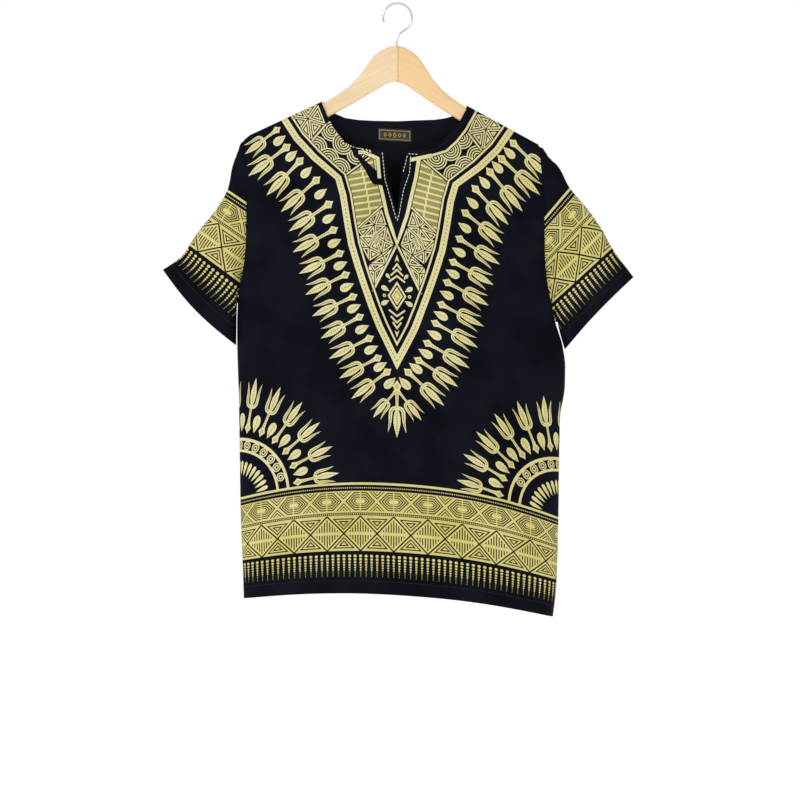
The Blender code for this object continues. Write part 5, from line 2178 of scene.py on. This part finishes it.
def label(materials):
    """The woven label inside the back neck."""
    corners = [
        (LABEL_LEFT, LABEL_LOW),
        (LABEL_RIGHT, LABEL_LOW),
        (LABEL_RIGHT, LABEL_HIGH),
        (LABEL_LEFT, LABEL_HIGH),
    ]
    lift = CLOTH / 2 + LABEL_OFF_CLOTH + LABEL_THICKNESS / 2

    def place(u, v):
        middle = cloth_place(u - CENTRE_X, v, 1, BACK_FOLDS)
        return middle - np.array((0.0, lift, 0.0))

    loop = [list(point) for point in divided(corners, EDGE_STEP, closed=True)]
    extra = grid_inside(loop, EDGE_STEP, 1.0).tolist()
    middle = ((LABEL_LEFT + LABEL_RIGHT) / 2, (LABEL_LOW + LABEL_HIGH) / 2)
    prints = nested(corners, LABEL_FRAME, (GOLD, GROUND))
    for across, tall in LABEL_MARKS:
        marks = nested(lozenge(LABEL_MARK_HALF, tall), LABEL_MARK_INSETS, (GOLD, GROUND))
        prints += moved(marks, middle[0] + across, middle[1])
    piece = shell("label_satin", loop, extra, prints, place, LABEL_THICKNESS, materials)
    return declared(piece, "neck_label")


def stitches(name, rows, size, material):
    """Rows of stitches as short threads whose ends dip into the cloth.

    A row is a line on the flat pattern with the function that places it.
    """
    threads = []
    for line, place in rows:
        last = lengths_along(line)[-1] - size.length
        starts = np.arange(HEM_STITCH_ENDS / 2, last, size.length + size.gap)
        at = (starts[:, None] + np.array((0.0, size.length / 2, size.length))).ravel()
        flat = read_along(line, at)
        rises = (-STITCH_DIP, size.radius * STITCH_STANDS, -STITCH_DIP)
        lift = np.tile(rises, len(starts))[:, None] + CLOTH / 2
        points = place(flat[:, 0], flat[:, 1]) + cloth_normals(place, flat) * lift
        threads += points.reshape(-1, 3, 3).tolist()
    piece = wires(name, size.radius, 1, threads)
    bpy.ops.object.shade_smooth()
    only_material(piece, material)
    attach(piece, "root")
    return piece


def front_place(u, v):
    """Points of the front for places on its flat pattern."""
    return cloth_place(u, v, -1, FRONT_FOLDS)


def back_place(u, v):
    """Points of the back for places on its flat pattern, whose u runs the other way."""
    return cloth_place(-u, v, 1, BACK_FOLDS)


def neck_stitch_line(table, side, turn):
    """A line on the flat pattern a little below one half of a neck edge."""
    edge = neck_edge(table, side)[:-2]
    x, level = np.array(edge).T
    line = np.stack((to_flat(x, level) * turn, level), axis=1)
    return beside(line, -side * turn * NECK_STITCHES)


def black_rows(sleeve_places):
    """All the rows of black stitches: hem, cuffs and neck."""
    hem_half = PATTERN_HALF - HEM_STITCH_ENDS
    hem = [(-hem_half, HEM_STITCHES), (hem_half, HEM_STITCHES)]
    rows = [(hem, front_place), (hem, back_place)]
    for cuff_half, place in sleeve_places:
        across = cuff_half - HEM_STITCH_ENDS
        rows.append(([(-across, CUFF_STITCHES), (across, CUFF_STITCHES)], place))
    for side in (-1, 1):
        rows.append((neck_stitch_line(FRONT_NECK, side, 1), front_place))
        rows.append((neck_stitch_line(BACK_NECK, side, -1), back_place))
    return rows


def studio():
    """A pale floor, soft lights, a white surround and the camera."""
    scene = bpy.context.scene
    bpy.ops.mesh.primitive_plane_add(size=FLOOR_SIZE, location=(0.0, 0.0, FLOOR_LEVEL))
    floor = bpy.context.active_object
    floor.name = "floor"
    floor.data.materials.append(floor_material())
    world = bpy.data.worlds.new("white surround")
    world.use_nodes = True
    tree = world.node_tree
    rays = add_node(tree, "ShaderNodeLightPath").outputs["Is Camera Ray"]
    strength = spread(tree, rays, 0.0, 1.0, SURROUND_LIGHT, 1.0)
    background = tree.nodes["Background"]
    background.inputs["Color"].default_value = (1.0, 1.0, 1.0, 1.0)
    tree.links.new(strength, background.inputs["Strength"])
    scene.world = world
    scene.view_settings.view_transform = "Standard"
    for name, place, size, power in LIGHTS:
        lamp = bpy.data.lights.new(name, "AREA")
        lamp.size = size
        lamp.energy = power
        item = linked(name, lamp)
        item.location = place
        aim = Vector(LIGHTS_AIM) - Vector(place)
        item.rotation_euler = aim.to_track_quat("-Z", "Y").to_euler()
    lens = bpy.data.cameras.new("camera")
    lens.lens = LENS
    lens.sensor_width = SENSOR
    camera = linked("camera", lens)
    camera.location = CAMERA_PLACE
    camera.rotation_euler = (math.pi / 2, 0.0, 0.0)
    scene.camera = camera


def dress():
    """Make every piece."""
    deselect_all()
    groups = {"weave": weave_group(), "drape": drape_group()}
    gold = ((0.70, 0.64, 0.31), (0.79, 0.72, 0.40))
    yellow = ((0.61, 0.535, 0.15), (0.70, 0.62, 0.24))
    olive = ((0.22, 0.19, 0.03), (0.30, 0.26, 0.06))
    bright = ((0.66, 0.58, 0.15), (0.74, 0.66, 0.24))
    # The lighter, bluer of the two blacks is painted sheen, mixed in by the tone patches
    black = ((0.0017, 0.0019, 0.0050), (0.0060, 0.0072, 0.0124))
    inside = ((0.0045, 0.0050, 0.0082), (0.0068, 0.0072, 0.0110))
    cloth = [
        cloth_material("black cotton", black, groups, 0.72, 0.05),
        cloth_material("pale gold print", gold, groups, 0.7, 0.2, yellow),
        cloth_material("olive print", olive, groups, 0.75, 0.2),
        cloth_material("bright gold print", bright, groups, 0.7, 0.2),
        cloth_material("inside of the cotton", inside, groups, 0.85, 0.08),
    ]
    satin_looks = (
        ("black satin", (0.012, 0.010, 0.009), (0.03, 0.024, 0.02), 0.2),
        ("gold satin thread", (0.52, 0.30, 0.03), (0.72, 0.46, 0.07), 0.1),
    )
    black_satin, gold_satin = (satin_material(*look, groups) for look in satin_looks)
    satin = [black_satin, gold_satin, gold_satin, gold_satin, black_satin]
    front_print = panel_print(True)
    panel("front", -1, FRONT_NECK, FRONT_FOLDS, True, front_print, cloth)
    panel("back", 1, BACK_NECK, BACK_FOLDS, False, panel_print(False), cloth)
    right = sleeve_form(-1, RIGHT_SLEEVE_TOP, RIGHT_CUFF_LOW, RIGHT_CUFF_BOW)
    left = sleeve_form(1, LEFT_SLEEVE_TOP, LEFT_CUFF_LOW, LEFT_CUFF_BOW)
    sleeves = [
        sleeve("right_sleeve", -1, right, RIGHT_SLEEVE_ROWS, sleeve_print(), cloth),
        sleeve("left_sleeve", 1, left, LEFT_SLEEVE_ROWS, sleeve_print(), cloth),
    ]
    cream = thread_material("cream thread", (0.62, 0.62, 0.50), (0.80, 0.80, 0.68))
    dark = thread_material("black thread", (0.010, 0.011, 0.016), (0.022, 0.023, 0.030))
    stitches("slit_stitches", [(row, front_place) for row in SLIT_STITCHES], TOPSTITCH, cream)
    stitches("black_stitches", black_rows(sleeves), HEM_STITCH, dark)
    label(satin)
    hanger(wood_material())
    hook(steel_material())
    studio()


dress()
